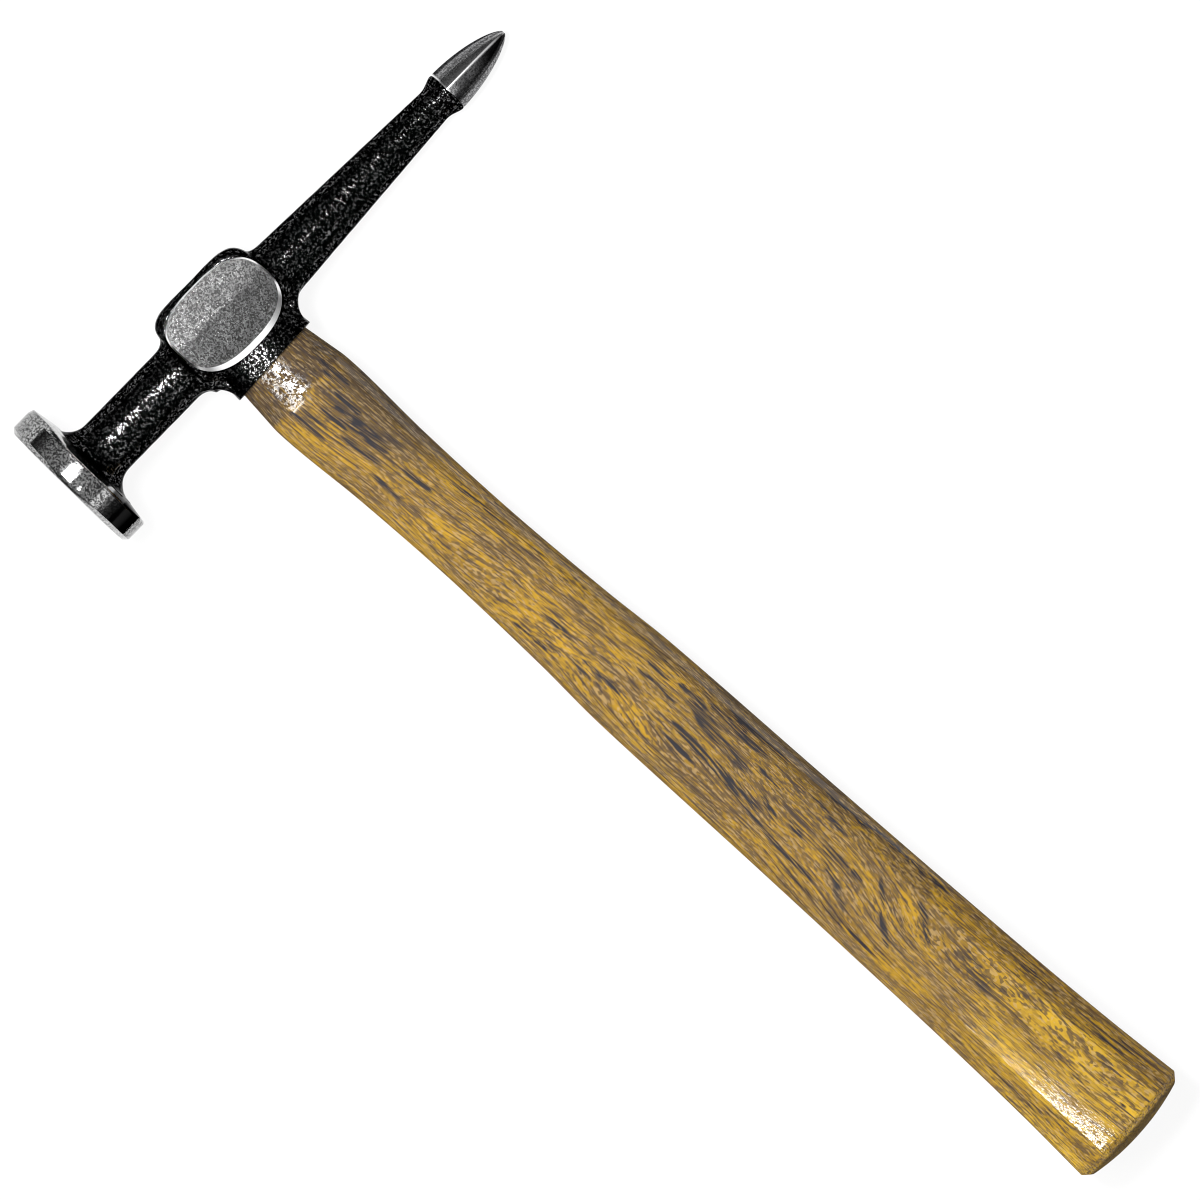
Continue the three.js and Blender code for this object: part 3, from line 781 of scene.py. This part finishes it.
def hickory():
    """Hickory under varnish, which has chipped at the shoulder and the butt and is bare at both ends."""
    s = new_shader("hickory")
    place = s.kept("place")
    x = s.split(place)[0]
    wear = s.split(s.kept("tone"))[2]
    fine = s.fibres(place, 0.13, 2.4)
    dashes = s.fibres(place, 0.06, 1.9)
    end_grain = s.add(s.ramp(x, *BUTT_END_GRAIN), s.ramp(x, *TENON_END_GRAIN))
    colour = hickory_colour(s, place, fine, dashes)
    s.give("Base Color", s.mix(s.times(end_grain, 0.7), colour, (0.05, 0.036, 0.02)))
    s.give("Roughness", s.ramp(fine, 0.3, 0.7, 0.4, 0.55))
    s.give("Specular IOR Level", 0.0)
    patchy = s.add(s.noise(place, 0.6), s.times(s.cells(place, 1.7), 0.3))
    sound = s.add(patchy, s.ramp(x, *BUTT_WEAR, 0.0, 0.07))
    chips = s.times(s.ramp(sound, 0.68, 0.58), s.times(wear, 2.0, True))
    facing = s.node("LayerWeight")["Facing"]
    bare = s.most(s.times(end_grain, 0.8), s.ramp(facing, 0.25, 0.6, 0.0, 0.95))
    s.give("Coat Weight", s.less(1.0, s.most(chips, bare)))
    s.give("Coat IOR", 1.5)
    s.give("Coat Roughness", s.add(0.06, s.times(wear, 0.05)))
    height = s.add(s.times(fine, 0.6), dashes)
    s.give("Normal", s.bump(height, 0.00008, 0.7))
    worn = s.times(s.times(s.noise(place, 1.2), wear), 4.0)
    s.give("Coat Normal", s.bump(s.add(height, worn), 0.000012))
    return s.owner


def wedge_wood():
    """Pale dry hardwood, with its end grain and a few fibres showing."""
    s = new_shader("wedge_wood")
    fibre = s.fibres(s.kept("place"), 0.15, 2.6, 3.0)
    s.give("Base Color", s.mix(s.ramp(fibre, 0.35, 0.68), (0.5, 0.32, 0.14), (0.24, 0.13, 0.05)))
    s.give("Roughness", 0.62)
    s.give("Normal", s.bump(fibre, 0.00012))
    return s.owner


def wedge_steel():
    """Mild steel of the driven wedges, dull and bruised by the hammer that set them."""
    s = new_shader("wedge_steel")
    place = s.kept("place")
    bruise = s.noise(place, 0.7, 2.0, 0.5)
    grain = s.noise(place, 4.0, 3.0)
    s.give("Base Color", s.mix(s.ramp(bruise, 0.35, 0.65), (0.2, 0.2, 0.205), (0.42, 0.42, 0.43)))
    s.give("Metallic", 1.0)
    s.give("Roughness", s.ramp(grain, 0.3, 0.7, 0.3, 0.5))
    s.give("Normal", s.bump(s.add(bruise, s.times(grain, 0.1)), 0.0002))
    return s.owner


# Pieces of the head

def disc_profile():
    """Radius and place of the disc's section, from the face's middle to the neck."""
    face_edge = DISC_RADIUS - FACE_CHAMFER
    inner_edge = face_edge - FACE_EDGE_RUN
    chamfer_place = -FACE_REACH + FACE_CROWN
    rim_end = RIM_START + RIM_WIDTH
    profile = [(FACE_MIDDLE_RADIUS, -FACE_REACH)]
    for radius in np.linspace(1, inner_edge, 24):
        drop = max(0, (radius - FACE_FLAT_RADIUS) / (face_edge - FACE_FLAT_RADIUS)) ** 2
        profile.append((radius, -FACE_REACH + FACE_CROWN * drop))
    rim = rounded([
        (inner_edge, chamfer_place - FACE_EDGE_DROP, 0),
        (face_edge, chamfer_place, RIM_EASE),
        (DISC_RADIUS, RIM_START, CHAMFER_EASE),
        (DISC_RADIUS, rim_end, RIM_EASE),
        (DISC_RADIUS - RIM_BACK_BEVEL, rim_end + RIM_BACK_BEVEL, BACK_BEVEL_EASE),
        (BACK_CONE_RADIUS, CONE_PLACE, 0),
    ])
    return [*profile, *rim[1:], (BACK_CONE_RADIUS - CONE_INSET, CONE_PLACE - CONE_SINK)]


def neck_shape():
    """The neck, from inside the disc to inside the body."""
    root_end = BODY_MIDDLE - BODY_LENGTH / 2
    root_start = root_end - NECK_ROOT_LENGTH
    middle = NECK_RADIUS + NECK_FILLET
    foot = math.acos((middle - BACK_CONE_RADIUS) / NECK_FILLET)
    fillet_place = CONE_PLACE + NECK_FILLET * math.sin(foot)
    deep = CONE_PLACE - NECK_SINK
    profile = [(BACK_CONE_RADIUS + NECK_SPREAD, deep)]
    for angle in np.linspace(math.radians(100), 0, 26):
        rise = NECK_FILLET * math.sin(angle)
        if rise <= fillet_place - deep:
            profile.append((middle - NECK_FILLET * math.cos(angle), fillet_place - rise))
    profile += [(NECK_RADIUS, place) for place in np.linspace(fillet_place, root_start, 20)]
    profile += flare(NECK_RADIUS, NECK_ROOT_RADIUS, root_start, root_end)[1:]
    return lathe([*profile, (NECK_ROOT_RADIUS, -CORE_REACH)], 96)


def arm_shape():
    """The arm, from inside the body to the shoulder of the ground point."""
    flare_start = BODY_MIDDLE + BODY_LENGTH / 2 - ARM_SINK
    flare_end = flare_start + ARM_FLARE_LENGTH
    waist_place = POINT_BASE - ARM_UPSET_LENGTH
    taper = waist_place - flare_start - ARM_FLARE_LENGTH
    profile = [(ARM_FLARE_RADIUS, CORE_REACH)]
    profile += flare(ARM_ROOT_RADIUS, ARM_FLARE_RADIUS, flare_end, flare_start)[::-1]
    for share in np.linspace(0, 1, 30)[1:]:
        radius = ARM_ROOT_RADIUS + (ARM_WAIST_RADIUS - ARM_ROOT_RADIUS) * share
        profile.append((radius, flare_end + taper * share))
    for share in np.linspace(0, 1, 12)[1:]:
        radius = ARM_WAIST_RADIUS + (POINT_RADIUS - ARM_WAIST_RADIUS) * smoothstep(share, 0, 1)
        profile.append((radius, waist_place + ARM_UPSET_LENGTH * share))
    points, faces = lathe(profile, 96)
    return raise_arm(points), faces


def block_shape():
    """The forged block round the eye, its edges well rounded off by the dies."""
    half_depth = CHEEK_THICKNESS / 2
    rings = []
    for share in np.linspace(-1, 1, 13):
        past = max(0, abs(share) - 0.5) * 2
        inset = BLOCK_ROUNDING * past ** 2
        rise = math.copysign(0.5 + (1 - (1 - past) ** 2) * 0.5, share) if past else share
        outline = barrel(
            BODY_LENGTH - 2 * inset, CROWN_HEIGHT - inset, BODY_DEPTH - inset,
            CROWN_POWER, BODY_HANDLE_POWER)
        rings.append(flat_ring(outline, half_depth * rise))
    return loft(rings)


def collar_shape():
    """The collar round the handle, which is waisted and flares at its lip."""
    middle = (EYE_WAIST_PLACE + LIP_PLACE) / 2
    sections = [(EYE_WAIST_PLACE, 2 * COLLAR_GROWTH), (middle, -LIP_FLARE)]
    sections += [(LIP_PLACE, LIP_FLARE), (LIP_PLACE + LIP_SPARE, LIP_FLARE)]
    return loft([oval_ring(x, LIP_WIDTH + growth, LIP_THICKNESS + growth / 2) for x, growth in sections])


def web_shape():
    """The web in the corners between collar, neck and arm."""
    side = LIP_WIDTH / 2 - WEB_INSET
    foot = LIP_PLACE - LIP_EDGE
    far = LIP_PLACE + LIP_SPARE
    half_depth = WEB_THICKNESS / 2
    face_corner = -side - FACE_WEB_RADIUS
    point_corner = side + POINT_WEB_RADIUS
    quarter = [(math.cos(a), math.sin(a)) for a in np.linspace(0, math.pi / 2, 24)]
    outline = [(0.0, face_corner)]
    outline += [(foot - FACE_WEB_RADIUS * c, face_corner + FACE_WEB_RADIUS * s) for c, s in quarter]
    outline += [(far, -side), (far, side)]
    outline += [(foot - POINT_WEB_RADIUS * s, point_corner - POINT_WEB_RADIUS * c) for c, s in quarter]
    outline += [(0.0, point_corner)]
    return loft([flat_ring(np.array(outline), z) for z in (-half_depth, half_depth)])


def eye_cutter():
    """The eye, tight on the tenon at the crown and with its clearance at the lip."""
    rings = []
    for x in np.linspace(CROWN_PLACE - CUTTER_SPARE, LIP_PLACE + CUTTER_SPARE, 40):
        share = np.clip((x - CROWN_PLACE) / (LIP_PLACE - CROWN_PLACE), 0, 1)
        rings.append(oval_ring(x, *eye_size(x, DRIVEN_GAP + (FIT_CLEARANCE - DRIVEN_GAP) * share)))
    return loft(rings)


def lip_cutter():
    """What is faced off at the lip, past the end of the collar and webs."""
    reach = LIP_WIDTH
    ring = [(-reach, -reach), (reach, -reach), (reach, reach), (-reach, reach)]
    return loft([[(x, y, z) for y, z in ring] for x in (LIP_PLACE, LIP_PLACE + 3 * LIP_SPARE)])


def forged_waviness(points):
    """How far each point of the forging stands off its ideal surface, in millimetres."""
    return np.array([sum(noise.noise(Vector(p) * scale) * height for scale, height in WAVES) for p in points])


def make_forging(material):
    """The black forging: its solids are fused by a fine remesh, eased together and then roughened."""
    shapes = [(lean(points), faces) for points, faces in (neck_shape(), arm_shape(), block_shape())]
    fused = raw_object("forging", *joined([*shapes, collar_shape(), web_shape()]))
    remesh = fused.modifiers.new("fuse", "REMESH")
    remesh.mode = "VOXEL"
    remesh.voxel_size = FUSE_VOXEL
    ease = fused.modifiers.new("ease", "SMOOTH")
    ease.factor = 0.5
    ease.iterations = FUSE_EASINGS
    mesh = evaluated(fused)
    points = mesh_points(mesh)
    normals = np.empty(len(points) * 3)
    mesh.vertex_normals.foreach_get("vector", normals)
    moved = points + normals.reshape(-1, 3) * forged_waviness(points)[:, None]
    mesh.vertices.foreach_set("co", moved.ravel())
    mesh.update()
    mesh = cut(new_object("forging", mesh), [lip_cutter(), eye_cutter()])
    finish_piece("forged_body", mesh, "hammer_head", [material], unlean, sharp=50)


def make_disc(ground):
    """The striking disc, whose back is a little prouder towards the crown."""
    points, faces = lathe(disc_profile(), 256)
    bevel_place = RIM_START + RIM_WIDTH
    behind = smoothstep(points[:, 1], bevel_place + CONE_SWELL_START, bevel_place + RIM_BACK_BEVEL)
    points[:, 1] += CONE_SWELL * behind * smoothstep(-points[:, 0], *CONE_SWELL_SPAN)
    mesh = evaluated(raw_object("disc", lean(points), faces))
    finish_piece("striking_disc", mesh, "hammer_head", [ground], unlean, sharp=30)


def point_ring(radius, place):
    """A section of the ground point: four bulged facets with an eased ridge between each two."""
    def outward(angle):
        return np.array([math.sin(angle), 0, math.cos(angle)])

    def on_facet(facet, t):
        start = math.pi / 2 * facet + POINT_ROLL
        end = start + math.pi / 2
        bulge = FACET_BULGE_SHARE * radius * math.sin(math.pi * t)
        flat = radius * (outward(start) * (1 - t) + outward(end) * t)
        return flat + bulge * outward((start + end) / 2) + [0, place, 0]

    ease = min(RIDGE_EASE / (radius * math.sqrt(2)), LARGEST_RIDGE_SHARE)
    ring = []
    for facet in range(4):
        ring += [on_facet(facet, t) for t in np.linspace(ease, 1 - ease, 20)]
        ridge = on_facet(facet, 1 - ease), on_facet(facet, 1), on_facet(facet + 1, ease)
        ring += [curve(*ridge, t) for t in (0.2, 0.4, 0.6, 0.8)]
    return ring


def point_tone(points):
    """Shares of bright metal and of darkness at places of the ground point: rubbed ridges with a painted
    highlight along the base edge and a painted sheen on the crown side, and painted shade on the handle side
    and in bands on the facets.
    """
    across, place, z = lower_arm(unlean(points)).T
    turn = (np.arctan2(across, z) - POINT_ROLL) / (math.pi / 2)
    off_ridge = np.hypot(across, z) * np.sin(np.abs(turn - np.round(turn)) * math.pi / 2)
    tip_start, tip_full = (POINT_BASE + share * POINT_LENGTH for share in TIPWARD_SHARES)
    tipward = smoothstep(place, tip_start, tip_full)
    ridge = (1 - smoothstep(off_ridge, *RIDGE_WORN)) * (1 - 0.6 * smoothstep(place, tip_full, POINT_REACH))
    # Painted highlight along the base edge, on the crown side only.
    edge = 1 - smoothstep(np.abs(place - POINT_BASE), *BASE_HIGHLIGHT)
    edge = edge * (1 - smoothstep(across, *BASE_HIGHLIGHT_SIDE))
    flat_share = np.abs(across) / (np.abs(across) + np.abs(z) + 1e-6)
    handle_side = smoothstep(across, *SIDE_BLEND)
    crown_side = smoothstep(-across, *SIDE_BLEND)
    # Painted shade: the handle side darkens towards the tip, with dark bands on the facets of both sides.
    dark = np.maximum.reduce([
        handle_side * (1 - smoothstep(flat_share, 0.58, 0.63)) * (0.05 + 0.9 * tipward),
        handle_side * 0.85 * band(flat_share, 0.5, 0.55, 0.6, 0.63),
        crown_side * 0.5 * band(flat_share, 0.45, 0.49, 0.55, 0.6),
        crown_side * 0.75 * smoothstep(flat_share, 0.7, 0.8),
    ])
    # Painted sheen on the middle of the crown side.
    sheen = 0.22 * crown_side * (1 - smoothstep(flat_share, 0.38, 0.44))
    share = np.maximum.reduce([ridge, edge, sheen])
    return np.stack([share, dark * (1 - share), share], axis=1)


def make_point(ground):
    """The ground point, from its clean lower edge to its rounded tip."""
    rings = [point_ring(POINT_RADIUS * inset, POINT_BASE + place) for inset, place in POINT_BASE_EDGE]
    for share in np.linspace(0.03, 0.985, 60):
        radius = POINT_RADIUS * (1 - share ** POINT_LENGTH_POWER) ** POINT_WIDTH_POWER
        rings.append(point_ring(radius, POINT_BASE + POINT_LENGTH * share))
    points, faces = loft(rings)
    mesh = evaluated(raw_object("point", lean(raise_arm(points)), faces))
    finish_piece("ground_point", mesh, "hammer_head", [ground], unlean, point_tone, 40)


def make_pad(name, side, ground, forged):
    """A ground pad on one cheek: black wall, bright bevel and flat."""
    def outline(longer, crownward, handleward):
        return barrel(
            PAD_LENGTH + longer, PAD_CROWN_HEIGHT + crownward, PAD_HANDLE_HEIGHT + handleward,
            PAD_CROWN_POWER, BODY_HANDLE_POWER)

    face = PAD_THICKNESS / 2
    edge = face - PAD_BEVEL_DEPTH
    wide = outline(0, 0, 0)
    narrow = outline(-2 * PAD_SIDE_BEVEL, -PAD_SIDE_BEVEL, -PAD_HANDLE_BEVEL)
    rings = [flat_ring(outline(*PAD_SKIRT), PAD_ROOT * side), flat_ring(wide, edge * side)]
    for share in (0.08, 0.5, 1.0):
        rings.append(flat_ring(wide + (narrow - wide) * share, (edge + (face - edge) * share) * side))
    points, faces = loft(rings)
    mesh = evaluated(raw_object(name, lean(points), faces))
    finish_piece(name, mesh, "hammer_head", [ground, forged], unlean, sharp=15)
    for polygon in mesh.polygons[:len(wide)]:
        polygon.material_index = 1


# Pieces of the handle and its wedges

def handle_ring(x, width, thickness, facet_share, steps=24):
    """An oval that turns into an eight-sided section towards the butt."""
    w, h = width / 2, thickness / 2
    flat, side = w * BUTT_FLAT_SHARE, h * BUTT_SIDE_SHARE
    corners = [(w, -side), (w, side), (flat, h), (-flat, h), (-w, side), (-w, -side), (-flat, -h), (flat, -h)]
    ring = []
    for corner, after in zip(corners, corners[1:] + corners[:1]):
        for t in (1 - np.cos(np.arange(steps) * math.pi / steps)) / 2:
            y, z = (a * (1 - t) + b * t for a, b in zip(corner, after))
            size = (abs(y / w) ** HANDLE_POWER + abs(z / h) ** HANDLE_POWER) ** (1 / HANDLE_POWER)
            grow = (1 - facet_share) / size + facet_share
            ring.append((x, y * grow, z * grow))
    return ring


def stick_size(place):
    """Width and thickness of the stick below the lip, with a straight taper on its shoulder."""
    at = max(place, SHOULDER_REACH)
    width = along(HANDLE_STATIONS, at, 1)
    thickness = width * along(HANDLE_STATIONS, at, 2)
    if place < SHOULDER_REACH:
        t = place / SHOULDER_REACH
        width = MOUTH[0] + (width - MOUTH[0]) * t
        thickness = MOUTH[1] + (thickness - MOUTH[1]) * t
    return width, thickness


def handle_rings():
    """Sections of the stick: tenon, shoulder and grip, then the butt's edge and its dome."""
    butt_edge = HANDLE_STATIONS[-1][0]
    dome_edge = HANDLE_REACH - BUTT_DOME
    rings = [handle_ring(x, *eye_size(x, 0), 0) for x in np.linspace(TENON_END_PLACE, LIP_PLACE, 24)]
    for place in np.linspace(0, butt_edge - BUTT_EDGE_RUN, 360)[1:]:
        facet = FACET_SHARE * smoothstep(place, FACET_START, FACET_FULL)
        facet += (BUTT_FACET_SHARE - FACET_SHARE) * smoothstep(place, BUTT_ROUND_START, butt_edge)
        rings.append(handle_ring(LIP_PLACE + place, *stick_size(place), facet))
    width = HANDLE_STATIONS[-1][1]
    thickness = width * HANDLE_STATIONS[-1][2]
    edge = rounded([
        (LIP_PLACE + butt_edge - BUTT_EDGE_RUN, 0, 0),
        (LIP_PLACE + butt_edge, 0, BUTT_EDGE_EASE),
        (dome_edge, BUTT_CHAMFER, DOME_EDGE_EASE),
        (dome_edge + DOME_EDGE_RISE, BUTT_CHAMFER + DOME_EDGE_RUN, 0),
    ])
    for x, inset in edge[1:-1]:
        rings.append(handle_ring(x, width - 2 * inset, thickness - 2 * inset, BUTT_FACET_SHARE))
    for share in np.linspace(0.93, 0.03, 22):
        size = [(length - 2 * BUTT_CHAMFER) * share for length in (width, thickness)]
        rings.append(handle_ring(HANDLE_REACH - BUTT_DOME * share * share, *size, BUTT_FACET_SHARE))
    return rings


def grain_place(points):
    """Places in the stick along its grain, which wanders across it and loops below the grip."""
    x, y, z = points.T
    at = [g[0] for g in GRAIN_DRIFT]
    fine = np.linspace(at[0], at[-1], 200)
    drift = np.interp(x, fine, [along(GRAIN_DRIFT, place, 1) for place in fine])
    wander = np.array([noise.noise(Vector(p * WANDER_SCALE)) for p in points])
    ease = 0.3 + 0.7 * np.exp(-(y / DRIFT_WIDTH) ** 2)
    return np.stack([x, y - drift * ease + GRAIN_WANDER * wander, z + GRAIN_SLOPE * x + wander], axis=1)


def stick_tone(points):
    """Shares of dark streak, smoky brown with painted shade along the upper edge and on the butt's upper
    facet, and gloss wear in the stick.
    """
    x, y, z = points.T
    under = z < 0
    px = np.where(under, UNDER_SWAP - x, x)
    py = np.where(under, -y, y)
    streak = np.zeros(len(points))
    for place, across, half_length, half_width, slant, depth in STREAKS:
        dx = px - place
        dy = py - across - slant * dx
        taper = np.clip(1 - np.abs(dx / half_length) ** 3, 0, 1)
        streak = np.maximum(streak, depth * taper * np.exp(-(dy / (STREAK_BLUR * half_width)) ** 2))
    shoulder_end = LIP_PLACE + SHOULDER_REACH
    shoulder = 1 - smoothstep(x, shoulder_end - SHOULDER_FADE[0], shoulder_end + SHOULDER_FADE[1])
    places = np.linspace(0, HANDLE_STATIONS[-1][0], 100)
    width = np.interp(x - LIP_PLACE, places, [stick_size(place)[0] for place in places])
    side_share = y / (width / 2)
    # The upper edge is darker, partly the wood's own tone and partly painted shade on the side turned away
    # from the key.
    upper_edge = smoothstep(side_share, 0.55, 1.0)
    grip = band(x, *GRIP_SMOKE) * smoothstep(y, *GRIP_SMOKE_SIDE)
    dark_run = band(x, *RUN_SMOKE) * smoothstep(y, *RUN_SMOKE_SIDE)
    butt = smoothstep(x, *BUTT_PALE)
    # Painted shade on the butt's upper facet, which is turned away from the light.
    upper_facet = smoothstep(x, *UPPER_FACET_SHADE) * smoothstep(side_share, 0.6, 0.66)
    smoke_and_shade = shoulder + 0.4 * upper_edge + 0.85 * grip + 0.45 * dark_run - 0.4 * butt + 0.25 * upper_facet
    return np.stack([streak, np.clip(smoke_and_shade, -1, 1), shoulder + 0.5 * butt], axis=1)


def taper_box(size, length, place=0.0, grow=0.0, lift=0.0, across=False):
    """A wedge or its slot, which narrows from the tenon's end down into it.

    A slot is the wedge grown on every side and lifted out past the tenon's end. Across, the wedge
    stands along Z and narrows along Y. Otherwise it is the other way round.
    """
    top, foot, depth = size
    reach = length / 2 + grow
    points = []
    for x, thickness in ((-lift, top), (depth + grow, foot)):
        for side, end in ((-1, -1), (1, -1), (1, 1), (-1, 1)):
            narrow = side * (thickness / 2 + grow)
            y, z = (narrow, end * reach) if across else (end * reach, narrow)
            points.append((TENON_END_PLACE + x, place + y, z))
    faces = [[0, 3, 2, 1], [4, 5, 6, 7], [0, 1, 5, 4], [1, 2, 6, 5], [2, 3, 7, 6], [3, 0, 4, 7]]
    return points, faces


def steel_box(side, grow=0.0, lift=0.0):
    """The steel wedge of the face's side (-1) or the point's (1), or its slot."""
    place = side * STEEL_WEDGE_SPACING / 2
    return taper_box(STEEL_WEDGE, STEEL_WEDGE_WIDTH, place, grow, lift, True)


def steel_slots():
    """Cutters for both slots."""
    return [steel_box(side, DRIVEN_GAP, SLOT_LIFT) for side in (-1, 1)]


def cut(obj, shapes, operation="DIFFERENCE"):
    """Cuts an object with each shape in turn and gives back the mesh."""
    cutters = [raw_object("cutter", *shape) for shape in shapes]
    for cutter in cutters:
        step = obj.modifiers.new("cut", "BOOLEAN")
        step.operation = operation
        step.solver = "EXACT"
        step.object = cutter
    mesh = evaluated(obj)
    for cutter in cutters:
        bpy.data.objects.remove(cutter)
    return mesh


def make_handle(material):
    """The hickory stick, with its kerf and slots in the tenon."""
    stick = raw_object("stick", *loft(handle_rings()))
    kerf_size = (WOOD_WEDGE[0], WOOD_WEDGE[1], KERF_DEPTH)
    kerf = taper_box(kerf_size, 2 * TENON_END[0], 0.0, DRIVEN_GAP, SLOT_LIFT)
    mesh = cut(stick, [kerf, *steel_slots()])
    finish_piece("hickory_handle", mesh, "handle", [material], grain_place, stick_tone, 40)


def make_wood_wedge(material):
    """The wooden wedge, cut off flush with the tenon and split by the steel ones."""
    block = raw_object("wedge_block", *taper_box(WOOD_WEDGE, 2 * TENON_END[0]))
    places = np.linspace(TENON_END_PLACE - TRIM_SPARE, LIP_PLACE, 24)
    tenon = loft([oval_ring(x, *eye_size(x, 0)) for x in places])
    trimmed = new_object("wedge_trimmed", cut(block, [tenon], "INTERSECT"))
    mesh = cut(trimmed, steel_slots())
    finish_piece("driven_wood_wedge", mesh, "wood_wedge", [material])


def make_steel_wedge(side_name, side, material):
    """One of the two steel wedges, its edges eased."""
    name = f"driven_wedge_{side_name}"
    wedge = raw_object(name, *steel_box(side))
    ease = wedge.modifiers.new("ease", "BEVEL")
    ease.width = STEEL_WEDGE_EDGE
    ease.segments = 3
    finish_piece(name, evaluated(wedge), f"steel_wedge_{side_name}", [material])


# Camera, floor and light

def local(x, y, z):
    """A place of the hammer's own frame in the row frame."""
    return OWN @ Vector((x, y, z))


def make_camera():
    """A long lens square to the hammer's own plane, turned and centred as the photograph is."""
    ux, uy = HANDLE_DIRECTION
    dx, dy = (PHOTO_SIZE / 2 - pixel for pixel in EYE_PIXEL)
    x, y = (dx * ux + dy * uy) / PIXELS_PER_MM, (dx * uy - dy * ux) / PIXELS_PER_MM
    camera = new_object("camera", bpy.data.cameras.new("camera"))
    right = OWN_TURN @ Vector((ux, uy, 0))
    up = OWN_TURN @ Vector((-uy, ux, 0))
    back = OWN_TURN @ Vector((0, 0, 1))
    turn = Matrix((right, up, back)).transposed().to_4x4()
    camera.matrix_world = Matrix.Translation(local(x, y, CAMERA_DISTANCE)) @ turn
    camera.data.sensor_width = SENSOR_MM
    camera.data.lens = SENSOR_MM * CAMERA_DISTANCE * PIXELS_PER_MM / PHOTO_SIZE
    camera.data.clip_end = CLIP_METRES
    bpy.context.scene.camera = camera


def softbox(name, place, size, radiance, target=None):
    """A soft lamp at a place of the hammer's own frame, turned straight down or to a target."""
    lamp = bpy.data.lights.new(name, "AREA")
    lamp.shape = "RECTANGLE"
    lamp.size, lamp.size_y = (length * MM for length in size)
    lamp.energy = math.pi * lamp.size * lamp.size_y * radiance
    obj = new_object(name, lamp)
    obj.location = local(*place)
    aim = local(*(target or (*place[:2], 0))) - local(*place)
    obj.rotation_euler = aim.to_track_quat("-Z", "Y").to_euler()


def make_floor():
    """The bench: white paint that keeps the hammer's shadow and looks white to the camera."""
    half = FLOOR_HALF_METRES
    corners = [(-half, -half, 0), (half, -half, 0), (half, half, 0), (-half, half, 0)]
    mesh = bpy.data.meshes.new("floor")
    mesh.from_pydata(corners, [], [(0, 1, 2, 3)])
    s = new_shader("floor_white")
    path = s.node("LightPath")
    seen = s.most(s.most(path["Is Camera Ray"], path["Is Glossy Ray"]), path["Is Transmission Ray"])
    paint = s.node("BsdfDiffuse", {"Color": FLOOR_PAINT})[0]
    glow = s.node("Emission")[0]
    both = s.node("MixShader", {0: s.times(seen, FLOOR_GLOW_SHARE), 1: paint, 2: glow})[0]
    s.put(s.nodes["Material Output"].inputs["Surface"], both)
    mesh.materials.append(s.owner)
    new_object("floor", mesh)


def make_world():
    """A plain studio room: pale overhead and darker towards the walls."""
    world = bpy.data.worlds.new("studio")
    bpy.context.scene.world = world
    s = Shader(world)
    height = s.split(s.node("TexCoord")["Generated"])[2]
    s.put(s.nodes["Background"].inputs["Color"], s.ramp(height, *ROOM_HEIGHTS, *ROOM_GREYS))


def main():
    scene = bpy.context.scene
    scene.view_settings.view_transform = "Standard"
    scene.cycles.filter_width = 1.0
    make_camera()
    forged = forged_steel()
    turned_steel = ground_steel(
        "turned_steel", (0.45, 0.45, 0.45), 0.1, "round", rim_painted_shade, chamfer_painted_light,
        relief=0.000004, depth=0.15)
    pad_steel = ground_steel(
        "pad_steel", (0.45, 0.45, 0.45), 0.085, (3.0, 0.2, 3.0), pad_darker_part, bright_bevel,
        relief=0.000004, depth=0.3)
    point_steel = ground_steel(
        "point_steel", (0.3, 0.3, 0.305), 0.13, (3.0, 0.3, 3.0), point_painted_shade, ridges_and_painted_light,
        relief=0.000015, depth=0.35)
    bruised = wedge_steel()
    make_forging(forged)
    make_disc(turned_steel)
    make_point(point_steel)
    make_pad("cheek_pad_upper", 1, pad_steel, forged)
    make_pad("cheek_pad_lower", -1, pad_steel, forged)
    make_handle(hickory())
    make_wood_wedge(wedge_wood())
    make_steel_wedge("face_side", -1, bruised)
    make_steel_wedge("point_side", 1, bruised)
    make_floor()
    make_world()
    for name, lamp in LAMPS.items():
        softbox(name, *lamp)


main()
